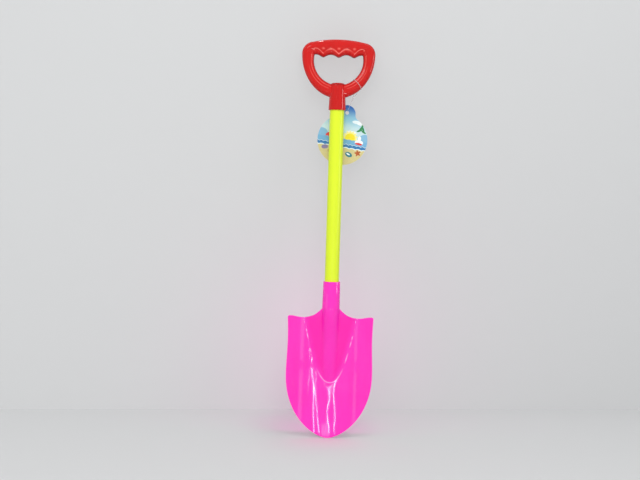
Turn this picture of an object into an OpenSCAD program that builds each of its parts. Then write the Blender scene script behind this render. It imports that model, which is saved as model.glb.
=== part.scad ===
// Child's sand shovel: a dished plastic blade with a socket, a tube for a shaft,
// a D-grip with finger grooves, and a card tag hung behind the shaft on a nylon loop.
// Millimetres. The shaft's axis is Z, the blade's point is at the origin, and the
// hollow side of the blade faces -Y.

/* [Shaft] */
// Outside diameter of the shaft tube
tube_d = 25.4; // [20:0.1:28]
// Wall of the shaft tube
tube_wall = 1.4; // [1:0.1:3]
// Length of the shaft tube, with the ends that its sockets hide
tube_len = 384; // [300:1:460]
// Gap all round between the tube and the bore of each socket
tube_fit = 0.05; // [0.02:0.01:0.08]

/* [Blade] */
// Full width of the blade
blade_w = 154.5; // [130:0.5:180]
// Height from the point to the lowest line of the shoulders
blade_len = 215.7; // [190:0.1:240]
// Height at which the blade reaches its full width
taper_len = 115; // [90:1:140]
// How far each side draws in above the full width
waist_in = 1.8; // [0:0.1:4]
// Wall of the blade
blade_wall = 2.5; // [1.8:0.1:4]
// How far the side edges stand in front of the blade's middle
dish_depth = 18; // [10:0.5:24]
// How far the blade's middle lies behind the shaft's axis
dish_back = 12; // [6:0.5:16]
// Height over which the middle comes forward to the point
dish_run = 130; // [100:1:180]

/* [Shoulders] */
// Rise from the lowest line of the shoulders to the foot of the socket
shoulder_rise = 17.8; // [12:0.1:24]
// Distance from the middle to the lowest place of a shoulder
shoulder_reach = 50; // [42:0.5:56]
// Rise of the outer horn of a shoulder
horn_rise = 3.3; // [1:0.1:6]
// Radius of the outer corner of a shoulder
corner_r = 3; // [1.5:0.1:5]

/* [Bulge] */
// Height of the rounded foot of the bulge that runs down from the socket
bulge_foot_z = 99.5; // [80:0.5:120]
// Width of the bulge between its creases, at the line of the shoulders
bulge_w = 93; // [80:1:100]
// Fall of a flank of the bulge, in mm per mm of width
flank_slope = 0.27; // [0.18:0.01:0.35]
// Fall of the ridge of the bulge, in mm per mm of height
ridge_slope = 0.22; // [0.16:0.01:0.26]
// Thickness of the ribs in the hollow behind the bulge
rib_wall = 1.8; // [1.2:0.1:2.5]

/* [Blade socket] */
// Length of the blade's socket above its foot
socket_len = 47.5; // [35:0.5:60]
// Wall of the blade's socket at its mouth
socket_mouth_wall = 2.3; // [2:0.05:3.5]
// Wall of the blade's socket at its foot
socket_foot_wall = 3.1; // [2.6:0.05:4.5]
// Thickness of the floor that the tube stands on
socket_floor = 2.5; // [1.5:0.1:4]

/* [Handle socket] */
// Length of the handle's socket from its mouth to its domed top
handle_socket_len = 48; // [42:0.5:60]
// How deep the tube goes into the handle's socket
handle_hold = 34.5; // [28:0.5:36]
// Wall of the handle's socket at its mouth
handle_mouth_wall = 2.55; // [1.8:0.05:3]
// Wall of the handle's socket at its top
handle_top_wall = 0.85; // [0.8:0.05:1.6]
// Radius round the top edge of the handle's socket
dome_r = 5; // [2:0.5:7]
// Wall of the hollow handle
handle_wall = 2.2; // [1.6:0.1:3]

/* [Grip] */
// Radius of the lower half of the hand opening
opening_r = 43.5; // [40:0.5:48]
// Full width of the grip
grip_w = 130.2; // [120:0.2:140]
// Height of the hand opening's centre above the mouth of the handle's socket
opening_rise = 88.1; // [84:0.1:96]
// Height of the grip's crown above the opening's centre
crown_rise = 37; // [34:0.1:42]
// Radius of the crown's long arc
crown_r = 217; // [180:1:300]
// Radius of the grip's outer corners
grip_corner_r = 21; // [14:0.5:24]
// Width of the ring under the opening
ring_foot_w = 23.5; // [18:0.1:26]
// Depth of the ring, front to back
ring_depth = 18; // [16:0.5:22]
// Depth of the bar that the fingers go round, front to back
bar_depth = 21; // [18:0.5:24]

/* [Finger grooves] */
// Distance from one ridge between fingers to the next
groove_pitch = 27.35; // [24:0.05:29]
// Height of the grooves' tops above the opening's centre
groove_rise = 9.4; // [7:0.1:12]
// Depth of the grooves on the parting line
groove_depth = 4.8; // [3:0.1:6]
// Height of the grooves' front edges above the opening's centre
groove_edge_rise = 19.5; // [17:0.1:22]
// Depth of the grooves along their front edges
groove_edge_depth = 8.6; // [6:0.1:10]
// Width of the band between the opening and its front edge
band_w = 5; // [3:0.1:6]

/* [Tag] */
// Radius of the tag's round body
tag_r = 44.8; // [38:0.1:50]
// Radius of the lobe that hangs from the loop
lobe_r = 15.5; // [12:0.1:18]
// Radius of the fillet between the lobe and the body
tag_fillet_r = 10; // [6:0.5:14]
// Drop from the hole to the centre of the body
tag_drop = 49; // [44:0.5:56]
// Thickness of the card
tag_t = 0.6; // [0.4:0.1:1]
// Diameter of the punched hole
tag_hole_d = 6.5; // [5:0.1:8]
// Distance of the hole to the right of the shaft's axis
tag_x = 18.4; // [16:0.1:24]
// Drop from the mouth of the handle's socket to the hole
tag_below_mouth = 2.6; // [0:0.1:6]
// Lean of the tag to the right, in degrees
tag_lean = 8.3; // [0:0.1:15]

/* [Loop] */
// Diameter of the nylon loop
loop_d = 0.9; // [0.7:0.05:1.2]
// Angle below level at which the loop goes round the ring, in degrees
loop_angle = 50; // [46:0.5:54]
// Gap between the loop and what it goes round or through
loop_gap = 0.35; // [0.3:0.05:0.5]

/* [Hidden] */

$fn = 96;
// Overrun of cuts past the faces that they open
cut = 1;

// Heights of the pieces along the shaft
foot_z = blade_len + shoulder_rise;
tube_foot_z = foot_z + socket_floor;
tube_top_z = tube_foot_z + tube_len;
handle_z = tube_top_z - handle_hold;
handle_top_z = handle_z + handle_socket_len;
opening_z = handle_z + opening_rise;

// Radii along the shaft
tube_r = tube_d/2;
bore_r = tube_r + tube_fit;
foot_r = bore_r + socket_foot_wall;
mouth_r = bore_r + socket_mouth_wall;

// Shape of the blade's outline: how blunt the point is and how soon the sides stand up
point_share = 2.1;
flare_share = 1.65;
// Height of one wave of the drawn-in sides, as a share of the taper's height
waist_wave_share = 1.1;
// Steepness of the shoulders where they climb to the socket
climb_share = 2.18;
// Run over which a horn rises, as a share of the width outside the shoulder's lowest place
horn_run_share = 0.9;
// Rounding of the bulge's roof, as a share of the socket's radius
roof_share = 0.52;
// Rounding between the bulge's ridge and its flanks, as a share of the socket's radius
ridge_blend_share = 0.26;
// Height over which the ridge bends back, as a share of the socket's radius
ridge_bend_share = 0.52;
// Thickest that a sloping wall gets along Y, in walls
wall_limit_share = 2;
// Gap between the bulge's shell and the skin of the socket that it runs into
shell_inset = 0.1;

// Columns and rows of the blade's grid, and how rows crowd towards the point
blade_cols = 38;
blade_rows = 32;
row_crowd_share = 1.5;
// Step over which slopes are taken
slope_step = 0.5;

function clamp(x, lo, hi) = min(max(x, lo), hi);
function mix(a, b, t) = a*(1 - t) + b*t;
function blend_min(a, b, k) = let(h = max(k - abs(a - b), 0)/k) min(a, b) - h*h*k/4;

// Half the blade's width at height z: a blunt ogive, then a slight waist, then a rounded corner
function half_w(z) = let(
    u = min(z, taper_len)/taper_len,
    ogive = blade_w/2*pow(1 - pow(1 - u, point_share), 1/flare_share),
    wave = max(z - taper_len, 0)/(taper_len*waist_wave_share),
    into_corner = clamp(z - (blade_len + horn_rise - corner_r), 0, corner_r))
    ogive - waist_in*(1 - cos(360*wave))/2
    - (corner_r - sqrt(corner_r*corner_r - into_corner*into_corner));

// Height of the blade's top edge at distance x from the middle
function top_edge(x) = let(
    a = abs(x),
    climb = clamp((shoulder_reach - a)/(shoulder_reach - foot_r), 0, 1),
    horn = clamp((a - shoulder_reach)/((blade_w/2 - shoulder_reach)*horn_run_share), 0, 1),
    inside = a < foot_r ? socket_floor/2 : 0)
    blade_len + shoulder_rise*pow(climb, climb_share) + horn_rise*(1 - cos(180*horn))/2 + inside;

// Half the width of the bulge between its creases at height z
function crease_x(z) = bulge_w/2*sqrt(max(z - bulge_foot_z, 0)/(blade_len - bulge_foot_z));

// The dish: a parabola across, and a middle line that comes forward to the point
function dish_y(x, z) = let(rest = 1 - min(z, dish_run)/dish_run)
    dish_back*(1 - rest*rest) - dish_depth*pow(2*x/blade_w, 2);

// The bulge's roof inside its creases, and the dish outside them
function roof_y(x, z) = let(w = crease_x(z), r = foot_r*roof_share)
    abs(x) >= w ? dish_y(x, z)
    : dish_y(w, z) - flank_slope*(sqrt(w*w + r*r) - sqrt(x*x + r*r));

// The socket's half cylinder carried on down, leaning back into the blade
function ridge_axis_y(z) = let(d = max(foot_z - z, 0))
    ridge_slope*d*d/(d + foot_r*ridge_bend_share);
function nose_y(x, z) = let(r = foot_r - shell_inset)
    ridge_axis_y(z) - sqrt(max(r*r - x*x, 0));

// Front face of the blade
function front_y(x, z) = abs(x) >= foot_r - shell_inset ? roof_y(x, z)
    : blend_min(nose_y(x, z), roof_y(x, z), foot_r*ridge_blend_share);

// Thickness along Y that keeps the wall even where the face slopes
function wall_y(x, z) = let(
    sx = (front_y(x + slope_step, z) - front_y(x - slope_step, z))/(2*slope_step),
    sz = (front_y(x, z + slope_step) - front_y(x, z - slope_step))/(2*slope_step))
    blade_wall*min(sqrt(1 + sx*sx + sz*sz), wall_limit_share);

// One point of the blade's grid, at a share s of its width and t of its height
function grid_xz(s, t) = let(z = top_edge(s*blade_w/2)*pow(t, row_crowd_share)) [s*half_w(z), z];

// The blade's shell: a front grid and a back grid that share the point, and a rim round them
module blade_shell() {
    m = blade_cols;
    n = blade_rows;
    xz = [for (j = [1:n], i = [0:m]) grid_xz(2*i/m - 1, j/n)];
    front = [for (p = xz) [p[0], front_y(p[0], p[1]), p[1]]];
    back = [for (p = xz) [p[0], front_y(p[0], p[1]) + wall_y(p[0], p[1]), p[1]]];
    count = len(front);
    tip = 2*count;
    tips = [[0, front_y(0, 0), 0], [0, front_y(0, 0) + blade_wall, 0]];
    face = [for (j = [0:n - 2], i = [0:m - 1])
        let(a = j*(m + 1) + i, b = a + 1, c = a + m + 2, d = a + m + 1)
        each [[a, c, b], [a, d, c]]];
    fan = [for (i = [0:m - 1]) [tip, i, i + 1]];
    rim = [for (j = [0:n - 2]) let(a = j*(m + 1), d = a + m + 1)
        each [[a, a + count, d + count], [a, d + count, d],
            [a + m, d + m, d + m + count], [a + m, d + m + count, a + m + count]]];
    top = [for (i = [0:m - 1]) let(a = (n - 1)*(m + 1) + i)
        each [[a, a + count, a + 1 + count], [a, a + 1 + count, a + 1]]];
    foot = [[tip, tip + 1, count], [tip, count, 0], [tip, m, m + count], [tip, m + count, tip + 1]];
    polyhedron(
        points = concat(front, back, tips),
        faces = concat(
            face,
            [for (f = face) [f[0] + count, f[2] + count, f[1] + count]],
            [for (f = fan) [f[0], f[2], f[1]]],
            [for (f = fan) [tip + 1, f[1] + count, f[2] + count]],
            rim, top, foot));
}

// Ribs in the hollow behind the bulge: their heights as shares of the way from the bulge's
// foot to the shoulders, and how much of the hollow's width they take
rib_height_shares = [0.5, 0.71, 0.92];
rib_fill_share = 0.86;
rib_steps = 12;
function rib_z(share) = mix(bulge_foot_z, blade_len, share);

module cross_rib(z) {
    w = crease_x(z)*rib_fill_share;
    back_y = dish_y(crease_x(z), z) + blade_wall/2;
    edge = [for (i = [0:rib_steps]) let(x = w*(2*i/rib_steps - 1)) [x, front_y(x, z) + blade_wall/2]];
    translate([0, 0, z - rib_wall/2])
        linear_extrude(rib_wall)
            polygon(concat(edge, [[w, back_y], [-w, back_y]]));
}

// The long rib down the middle, from the floor of the socket
module long_rib() {
    low_z = rib_z(rib_height_shares[0]);
    high_z = foot_z + socket_floor/2;
    ridge = [for (i = [0:rib_steps]) let(z = low_z + (high_z - low_z)*i/rib_steps)
        [front_y(0, z) + blade_wall/2, z]];
    translate([-rib_wall/2, 0, 0])
        rotate([90, 0, 90])
            linear_extrude(rib_wall)
                polygon(concat(ridge, [[foot_r*rib_fill_share, high_z],
                    [dish_y(crease_x(low_z), low_z), low_z]]));
}

module blade() {
    color("#ff3cb8")
    difference() {
        union() {
            blade_shell();
            translate([0, 0, foot_z])
                cylinder(h = socket_len, r1 = foot_r, r2 = mouth_r);
            for (share = rib_height_shares)
                cross_rib(rib_z(share));
            long_rib();
        }
        translate([0, 0, tube_foot_z])
            cylinder(h = socket_len + cut, r = bore_r);
    }
}

module shaft_tube() {
    color("#e2f73c")
    translate([0, 0, tube_foot_z])
        difference() {
            cylinder(h = tube_len, r = tube_r);
            translate([0, 0, -cut])
                cylinder(h = tube_len + 2*cut, r = tube_r - tube_wall);
        }
}

// Stations round half of the grip: up the ring, round the corner, along the bar
ring_stations = 20;
corner_stations = 5;
bar_stations = 15;
half_stations = ring_stations + corner_stations + bar_stations;
// Angle above level at which the opening leaves its circle for the corner
opening_end_angle = 7;
// Rounding of the ridges between the fingers, on the parting line and on the front edge
ridge_round_share = 0.3;
edge_round_share = 0.06;
// Where the section is deepest, and how deep its inner front edge lies
crown_share = 0.58;
edge_depth_share = 0.86;

// Centre of the outer corner, which touches the side and the crown's arc
corner_x = grip_w/2 - grip_corner_r;
corner_z = opening_z + crown_rise - crown_r
    + sqrt(pow(crown_r - grip_corner_r, 2) - corner_x*corner_x);
corner_angle = atan2(corner_z - (opening_z + crown_rise - crown_r), corner_x);
ring_foot_z = opening_z - opening_r - ring_foot_w;
// Middle of the outermost groove, and where the crown's arc starts
bar_end_x = groove_pitch*3/2;
crown_end_x = crown_r*cos(corner_angle);

function bend(a, b, c, t) = a*(1 - t)*(1 - t) + b*2*t*(1 - t) + c*t*t;
function polar(r, angle) = [r*cos(angle), r*sin(angle)];
// A wave with a rounded ridge at each pitch: 0 at a ridge and 1 in the middle of a groove
function finger(x, soft) = let(s = sin(180*x/groove_pitch))
    (sqrt(s*s + soft*soft) - soft)/(sqrt(1 + soft*soft) - soft);

function inner_z(x) = opening_z + groove_rise - groove_depth*(1 - finger(x, ridge_round_share));
function edge_z(x) = opening_z + groove_edge_rise
    - groove_edge_depth*(1 - finger(x, edge_round_share));
function crown_z(x) = opening_z + crown_rise - crown_r + sqrt(crown_r*crown_r - x*x);

// Right half of the three lines that shape the grip, from the bottom to the crown, as [x, z]
function inner_line(i) = let(centre = [0, opening_z])
    i <= ring_stations
    ? centre + polar(opening_r, -90 + (90 + opening_end_angle)*i/ring_stations)
    : i <= ring_stations + corner_stations
    ? let(a = centre + polar(opening_r, opening_end_angle), c = [bar_end_x, inner_z(bar_end_x)])
        bend(a, [a[0], c[1]], c, (i - ring_stations)/corner_stations)
    : let(x = bar_end_x*(half_stations - i)/bar_stations) [x, inner_z(x)];
function edge_line(i) = let(centre = [0, opening_z], r = opening_r + band_w)
    i <= ring_stations
    ? centre + polar(r, -90 + (90 + opening_end_angle)*i/ring_stations)
    : i <= ring_stations + corner_stations
    ? let(a = centre + polar(r, opening_end_angle), c = [bar_end_x, edge_z(bar_end_x)])
        bend(a, [a[0], c[1]], c, (i - ring_stations)/corner_stations)
    : let(x = bar_end_x*(half_stations - i)/bar_stations) [x, edge_z(x)];
function outer_line(i) = let(angle = -90 + 90*i/ring_stations)
    i <= ring_stations
    ? [grip_w/2*cos(angle), corner_z + (corner_z - ring_foot_z)*sin(angle)]
    : i <= ring_stations + corner_stations
    ? [corner_x, corner_z] + polar(grip_corner_r, corner_angle*(i - ring_stations)/corner_stations)
    : let(x = crown_end_x*(half_stations - i)/bar_stations) [x, crown_z(x)];
function half_depth(i) =
    mix(ring_depth, bar_depth, clamp((i - ring_stations)/corner_stations, 0, 1))/2;

// Front half of the section at a station, as [distance from the opening, depth]
inner_steps = 3;
crown_steps = 5;
inner_turn = 78;
function section(w, edge, h) = let(
    mid = w*crown_share,
    deep = h*edge_depth_share,
    spread = (mid - edge)/sqrt(1 - edge_depth_share*edge_depth_share))
    concat(
        [for (k = [0:inner_steps - 1]) let(a = inner_turn*k/inner_steps)
            [edge*(1 - cos(a)), -deep*sin(a)]],
        [for (k = [0:1]) let(d = mix(edge, mid, k/2))
            [d, -h*sqrt(1 - pow((mid - d)/spread, 2))]],
        [for (k = [0:crown_steps]) let(a = 90 - 90*k/crown_steps)
            [mid + (w - mid)*cos(a), -h*sin(a)]]);

// Section points at station i of the right half, or of the left half when side is -1
function ring_points(i, side) = let(
    a = inner_line(i), b = outer_line(i), e = edge_line(i),
    w = norm(b - a), dir = (b - a)/w, edge = min((e - a)*dir, w*crown_share*edge_depth_share),
    front = section(w, edge, half_depth(i)), last = len(front) - 1,
    loop = concat(front, [for (k = [last - 1:-1:1]) [front[k][0], -front[k][1]]]))
    [for (p = loop) let(q = a + dir*p[0]) [side*q[0], p[1], q[1]]];

// Stations of the whole loop: up the right half and down the left
loop_stations = concat(
    [for (i = [0:half_stations]) [i, 1]],
    [for (i = [half_stations - 1:-1:1]) [i, -1]]);

// A closed tube of sections: each is a ring of the same number of points
module closed_loop(rings) {
    n = len(rings);
    m = len(rings[0]);
    polyhedron(
        points = [for (ring = rings) each ring],
        faces = [for (j = [0:n - 1], i = [0:m - 1])
            let(a = j*m + i, b = j*m + (i + 1)%m, c = ((j + 1)%n)*m + (i + 1)%m, d = ((j + 1)%n)*m + i)
            each [[a, c, b], [a, d, c]]]);
}

// The hollow inside the grip: an oval set in from the skin by the wall
hollow_sides = 10;
function hollow_points(i, side) = let(
    a = inner_line(i), b = outer_line(i), w = norm(b - a), dir = (b - a)/w,
    half = w/2 - handle_wall, deep = half_depth(i) - handle_wall)
    [for (k = [0:hollow_sides - 1]) let(t = 360*k/hollow_sides, q = a + dir*(w/2 - half*cos(t)))
        [side*q[0], -deep*sin(t), q[1]]];

// The handle's socket, with its domed top, as a turned shape
handle_mouth_r = bore_r + handle_mouth_wall;
handle_top_r = bore_r + handle_top_wall;
head_r = handle_top_r - handle_wall - tube_wall;
module handle_socket() {
    translate([0, 0, handle_z])
        rotate_extrude() {
            polygon([[0, 0], [handle_mouth_r, 0], [handle_top_r, handle_socket_len - dome_r],
                [0, handle_socket_len - dome_r]]);
            square([handle_top_r - dome_r, handle_socket_len]);
            intersection() {
                translate([handle_top_r - dome_r, handle_socket_len - dome_r])
                    circle(dome_r);
                square([handle_top_r, handle_socket_len]);
            }
        }
}

module handle() {
    color("#d8241f")
    difference() {
        union() {
            closed_loop([for (s = loop_stations) ring_points(s[0], s[1])]);
            handle_socket();
        }
        translate([0, 0, handle_z - cut])
            cylinder(h = handle_hold + cut, r = bore_r);
        translate([0, 0, tube_top_z - cut])
            cylinder(h = handle_top_z - handle_wall - tube_top_z + cut, r = head_r);
        difference() {
            closed_loop([for (s = loop_stations) hollow_points(s[0], s[1])]);
            translate([0, 0, handle_z])
                cylinder(h = handle_hold + tube_wall, r = handle_mouth_r);
        }
    }
}

// The tag hangs just behind the socket's mouth; its hole is where the loop goes through
tag_front_y = handle_mouth_r + loop_gap + tag_t/2;
tag_mid_y = tag_front_y + tag_t/2;
tag_z = handle_z - tag_below_mouth;
// Drop from the hole to the lobe's centre, as a share of the lobe's radius
lobe_drop_share = 0.11;
arc_steps = 24;

function arc(centre, r, from, to, n) =
    [for (i = [0:n]) centre + polar(r, from + (to - from)*i/n)];

// Outline of the card about its hole: the lobe, two fillets and the round body
module tag_outline() {
    lobe_c = [0, -lobe_r*lobe_drop_share];
    body_c = [0, -tag_drop];
    span = lobe_c[1] - body_c[1];
    near = lobe_r + tag_fillet_r;
    far = tag_r + tag_fillet_r;
    down = (near*near - far*far + span*span)/(2*span);
    fillet_c = [sqrt(near*near - down*down), lobe_c[1] - down];
    lobe_a = atan2(fillet_c[1] - lobe_c[1], fillet_c[0]);
    body_a = atan2(fillet_c[1] - body_c[1], fillet_c[0]);
    left_c = [-fillet_c[0], fillet_c[1]];
    polygon(concat(
        arc(lobe_c, lobe_r, lobe_a, 180 - lobe_a, arc_steps),
        arc(left_c, tag_fillet_r, -lobe_a, -body_a, arc_steps/2),
        arc(body_c, tag_r, 180 - body_a, 360 + body_a, 3*arc_steps),
        arc(fillet_c, tag_fillet_r, 180 + body_a, 180 + lobe_a, arc_steps/2)));
}

module hang_tag() {
    color("#bfe0ef")
    translate([tag_x, tag_mid_y, tag_z])
        rotate([90, tag_lean, 0])
            difference() {
                translate([0, 0, -tag_t/2])
                    linear_extrude(tag_t)
                        tag_outline();
                translate([0, 0, -tag_t/2 - cut])
                    cylinder(h = tag_t + 2*cut, d = tag_hole_d);
            }
}

// Where the loop goes round the ring: the middle of the ring's width at the loop's angle
loop_r = loop_d/2;
ring_out = polar(1, -loop_angle);
along_ring = [-ring_out[1], 0, ring_out[0]];
oval_rise = corner_z - opening_z;
oval_a = pow(ring_out[0]/(grip_w/2), 2) + pow(ring_out[1]/(corner_z - ring_foot_z), 2);
oval_b = ring_out[1]*oval_rise/pow(corner_z - ring_foot_z, 2);
oval_c = pow(oval_rise/(corner_z - ring_foot_z), 2) - 1;
ring_far = (oval_b + sqrt(oval_b*oval_b - oval_a*oval_c))/oval_a;
wrap_mid = (opening_r + ring_far)/2;
wrap_c = [wrap_mid*ring_out[0], 0, opening_z + wrap_mid*ring_out[1]];
wrap_r = max((ring_far - opening_r)/2, ring_depth/2) + loop_gap + loop_r;
// Angles, from the ring's outer side towards the back, between which the loop hugs the ring
wrap_from = 20;
wrap_to = -235;
// How far the strands run straight out of the hole and off the ring, as shares of their length
hole_lead_share = 0.36;
ring_lead_share = 0.22;
loop_sides = 8;
wrap_steps = 26;
strand_steps = 16;
bight_steps = 8;

hole_c = [tag_x, tag_mid_y, tag_z];
strand = [wrap_c[0] - hole_c[0], 0, wrap_c[2] - hole_c[2]];
up_strand = strand/norm(strand);
bight_r = tag_t/2 + loop_gap + loop_r;
bight_low = hole_c + up_strand*(tag_hole_d/2 - loop_gap - loop_r);
back = [0, 1, 0];

function off_ring(angle) = [ring_out[0]*cos(angle), sin(angle), ring_out[1]*cos(angle)];
function round_ring(angle) = wrap_c + wrap_r*off_ring(angle);
// Direction of travel while the angle round the ring falls
function ring_heading(angle) = [ring_out[0]*sin(angle), -cos(angle), ring_out[1]*sin(angle)];
function bight(angle) = bight_low + up_strand*bight_r*(1 - sin(angle)) + back*bight_r*cos(angle);
function curve(a, b, c, d, t) = let(s = 1 - t) a*s*s*s + b*3*s*s*t + c*3*s*t*t + d*t*t*t;

// The loop's centre line: round the ring, down behind it, through the hole and back up
ring_lead = norm(strand)*ring_lead_share;
hole_lead = norm(strand)*hole_lead_share;
loop_path = concat(
    [for (i = [0:wrap_steps]) round_ring(mix(wrap_from, wrap_to, i/wrap_steps))],
    [for (i = [1:strand_steps - 1]) curve(
        round_ring(wrap_to), round_ring(wrap_to) + ring_heading(wrap_to)*ring_lead,
        bight(0) + up_strand*hole_lead, bight(0), i/strand_steps)],
    [for (i = [0:bight_steps]) bight(180*i/bight_steps)],
    [for (i = [1:strand_steps - 1]) curve(
        bight(180), bight(180) + up_strand*hole_lead,
        round_ring(wrap_from) - ring_heading(wrap_from)*ring_lead, round_ring(wrap_from),
        i/strand_steps)]);

function unit(v) = v/norm(v);
module tag_loop() {
    n = len(loop_path);
    color("#e8ecf0")
    closed_loop([for (i = [0:n - 1])
        let(p = loop_path[i],
            ahead = unit(loop_path[(i + 1)%n] - loop_path[(i + n - 1)%n]),
            side = unit(cross(ahead, along_ring)),
            lift = cross(ahead, side))
        [for (k = [0:loop_sides - 1]) let(a = 360*k/loop_sides)
            p + loop_r*(side*cos(a) - lift*sin(a))]]);
}

// Where the two hinges are: the ring under the loop, and the loop inside the hole
echo(loop_hinge = wrap_c, loop_axis = along_ring, tag_hinge = bight_low, top = opening_z + crown_rise);

blade();
shaft_tube();
handle();
hang_tag();
tag_loop();
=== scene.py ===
"""A child's sand shovel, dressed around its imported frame: meshes, finishes, stage and camera.

Metres throughout. The shaft's axis is Z, the blade's point is at the origin, and the hollow
side of the blade faces -Y, where the camera stands.
"""

import logging
import math
from dataclasses import dataclass
from enum import Enum
from typing import Callable, Sequence

import bmesh
import bpy
import numpy as np
from mathutils import Matrix, Vector


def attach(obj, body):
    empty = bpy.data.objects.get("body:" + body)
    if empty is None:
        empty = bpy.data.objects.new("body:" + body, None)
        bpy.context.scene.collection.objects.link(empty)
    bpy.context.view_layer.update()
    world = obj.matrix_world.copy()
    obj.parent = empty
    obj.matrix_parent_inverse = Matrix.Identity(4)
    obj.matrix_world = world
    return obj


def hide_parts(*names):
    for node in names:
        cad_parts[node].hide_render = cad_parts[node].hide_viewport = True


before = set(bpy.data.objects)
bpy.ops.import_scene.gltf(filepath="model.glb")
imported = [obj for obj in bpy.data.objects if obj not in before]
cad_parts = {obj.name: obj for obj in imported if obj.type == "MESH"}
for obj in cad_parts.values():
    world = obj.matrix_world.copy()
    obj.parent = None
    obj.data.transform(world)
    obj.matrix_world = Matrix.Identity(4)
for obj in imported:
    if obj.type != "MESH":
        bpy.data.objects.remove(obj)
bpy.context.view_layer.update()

log = logging.getLogger("sand_shovel")
Array = np.ndarray
Colour = tuple[float, float, float]
Place = tuple[float, float, float]
Stretch = tuple[float, float, float]
Range = tuple[float, float]
Socket = bpy.types.NodeSocket
Value = float | Sequence[float] | Socket

MM = 0.001
WELD_REACH = 0.002 * MM

# The card's own plane is laid out on a square of this many millimetres, with the hole at this
# share of its sides.
CARD_SQUARE = 120.0
CARD_HOLE = (0.5, 0.85)


class Body(Enum):
    """The bodies that move against each other."""

    SHOVEL = "shovel"
    LOOP = "tag_loop"
    TAG = "hang_tag"


class Slot(Enum):
    """The record's material slots."""

    BLADE = "blade_plastic"
    TUBE = "tube_plastic"
    HANDLE = "handle_plastic"
    CARD = "tag_card"
    NYLON = "loop_nylon"


def mix(a: Array, b: Array, t: Array) -> Array:
    """Straight mix of a and b: all a at t = 0 and all b at t = 1."""
    return a * (1 - t) + b * t


def blend_min(a: Array, b: Array, k: Array) -> Array:
    """The smaller of a and b, with a parabolic fillet where they differ by less than k."""
    h = np.maximum(k - np.abs(a - b), 0) / k
    return np.minimum(a, b) - h * h * k / 4


def share_between(value: Array, start: float, end: float) -> Array:
    """How far a value has come from start to end: 0 at start, 1 at end, straight between."""
    return np.clip((value - start) / (end - start), 0, 1)


def near(distance: Array, fade: float, reach: float = 1.0) -> Array:
    """A share that falls from 1 to 0 over one fade, and is 0 from reach times the fade on."""
    return np.clip(reach - distance / fade, 0, 1)


def unit(vectors: Array) -> Array:
    """Vectors scaled to length one, along the last axis."""
    return vectors / np.linalg.norm(vectors, axis=-1, keepdims=True)


def polar(radius: float, degrees: Array) -> Array:
    """Points at a radius and at angles in degrees, as rows of two coordinates."""
    a = np.radians(degrees)
    return np.stack([radius * np.cos(a), radius * np.sin(a)], -1)


def sweep(path: Array, lift: Array, radius: float, sides: int) -> Array:
    """A round tube along a closed path.

    Args:
        path: One row of x, y, z per station.
        lift: A direction that the path never runs along.
        radius: The tube's radius.
        sides: Points round the tube.

    Returns:
        Points as stations by sides by three: centre + radius (side cos a + up sin a), where
        side is square to the path and to lift, and up is square to both.
    """
    ahead = unit(np.roll(path, -1, 0) - np.roll(path, 1, 0))
    side = unit(np.cross(ahead, lift))
    up = np.cross(side, ahead)
    a = np.linspace(0, 2 * np.pi, sides, endpoint=False)[None, :, None]
    ring = side[:, None, :] * np.cos(a) + up[:, None, :] * np.sin(a)
    return path[:, None, :] + radius * ring


def quads(rows: int, cols: int, wrap_rows: bool = False, wrap_cols: bool = False) -> Array:
    """Faces of a grid of points stored row by row.

    Args:
        rows: Number of rows of points.
        cols: Number of points in a row.
        wrap_rows: True where the last row joins the first.
        wrap_cols: True where a row's last point joins its first.

    Returns:
        One row of four point numbers per face.
    """
    j, i = np.meshgrid(
        np.arange(rows if wrap_rows else rows - 1),
        np.arange(cols if wrap_cols else cols - 1),
        indexing="ij",
    )
    j2, i2 = (j + 1) % rows, (i + 1) % cols
    return np.stack([j * cols + i, j * cols + i2, j2 * cols + i2, j2 * cols + i], -1).reshape(-1, 4)


def make_mesh(name: str, points: Array, faces: Array) -> bpy.types.Mesh:
    """A mesh of quads, welded where points meet and with its faces turned outwards.

    Args:
        name: The mesh's name.
        points: One row of x, y, z per point.
        faces: One row of four point numbers per face.

    Returns:
        The new mesh, shaded smooth.
    """
    mesh = bpy.data.meshes.new(name)
    mesh.vertices.add(len(points))
    mesh.vertices.foreach_set("co", np.ascontiguousarray(points, np.float32).ravel())
    mesh.loops.add(faces.size)
    mesh.loops.foreach_set("vertex_index", faces.astype(np.int32).ravel())
    mesh.polygons.add(len(faces))
    mesh.polygons.foreach_set("loop_start", np.arange(0, faces.size, 4, dtype=np.int32))
    mesh.update(calc_edges=True)
    weld(mesh)
    return mesh


def face_outwards(mesh: bpy.types.Mesh, weld_reach: float = 0.0) -> None:
    """Turns all faces of a closed mesh outwards.

    Args:
        mesh: The mesh, which is changed.
        weld_reach: Points nearer than this are merged first, and what collapses is dropped.
    """
    work = bmesh.new()
    work.from_mesh(mesh)
    if weld_reach:
        bmesh.ops.remove_doubles(work, verts=work.verts, dist=weld_reach)
        bmesh.ops.dissolve_degenerate(work, edges=work.edges, dist=weld_reach)
    bmesh.ops.recalc_face_normals(work, faces=work.faces)
    work.to_mesh(mesh)
    work.free()
    mesh.update()


def shade_smooth(mesh: bpy.types.Mesh) -> None:
    """Shades all faces of a mesh smooth."""
    mesh.polygons.foreach_set("use_smooth", np.ones(len(mesh.polygons), bool))
    mesh.update()


def weld(mesh: bpy.types.Mesh) -> None:
    """Merges points that meet, turns all faces outwards and shades them smooth."""
    face_outwards(mesh, WELD_REACH)
    shade_smooth(mesh)


def loose_object(name: str, mesh: bpy.types.Mesh) -> bpy.types.Object:
    """An object at the origin that shows a mesh.

    Args:
        name: The object's name.
        mesh: The mesh, in the object's own place.

    Returns:
        The new object, in the scene.
    """
    made = bpy.data.objects.new(name, mesh)
    bpy.context.scene.collection.objects.link(made)
    return made


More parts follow.
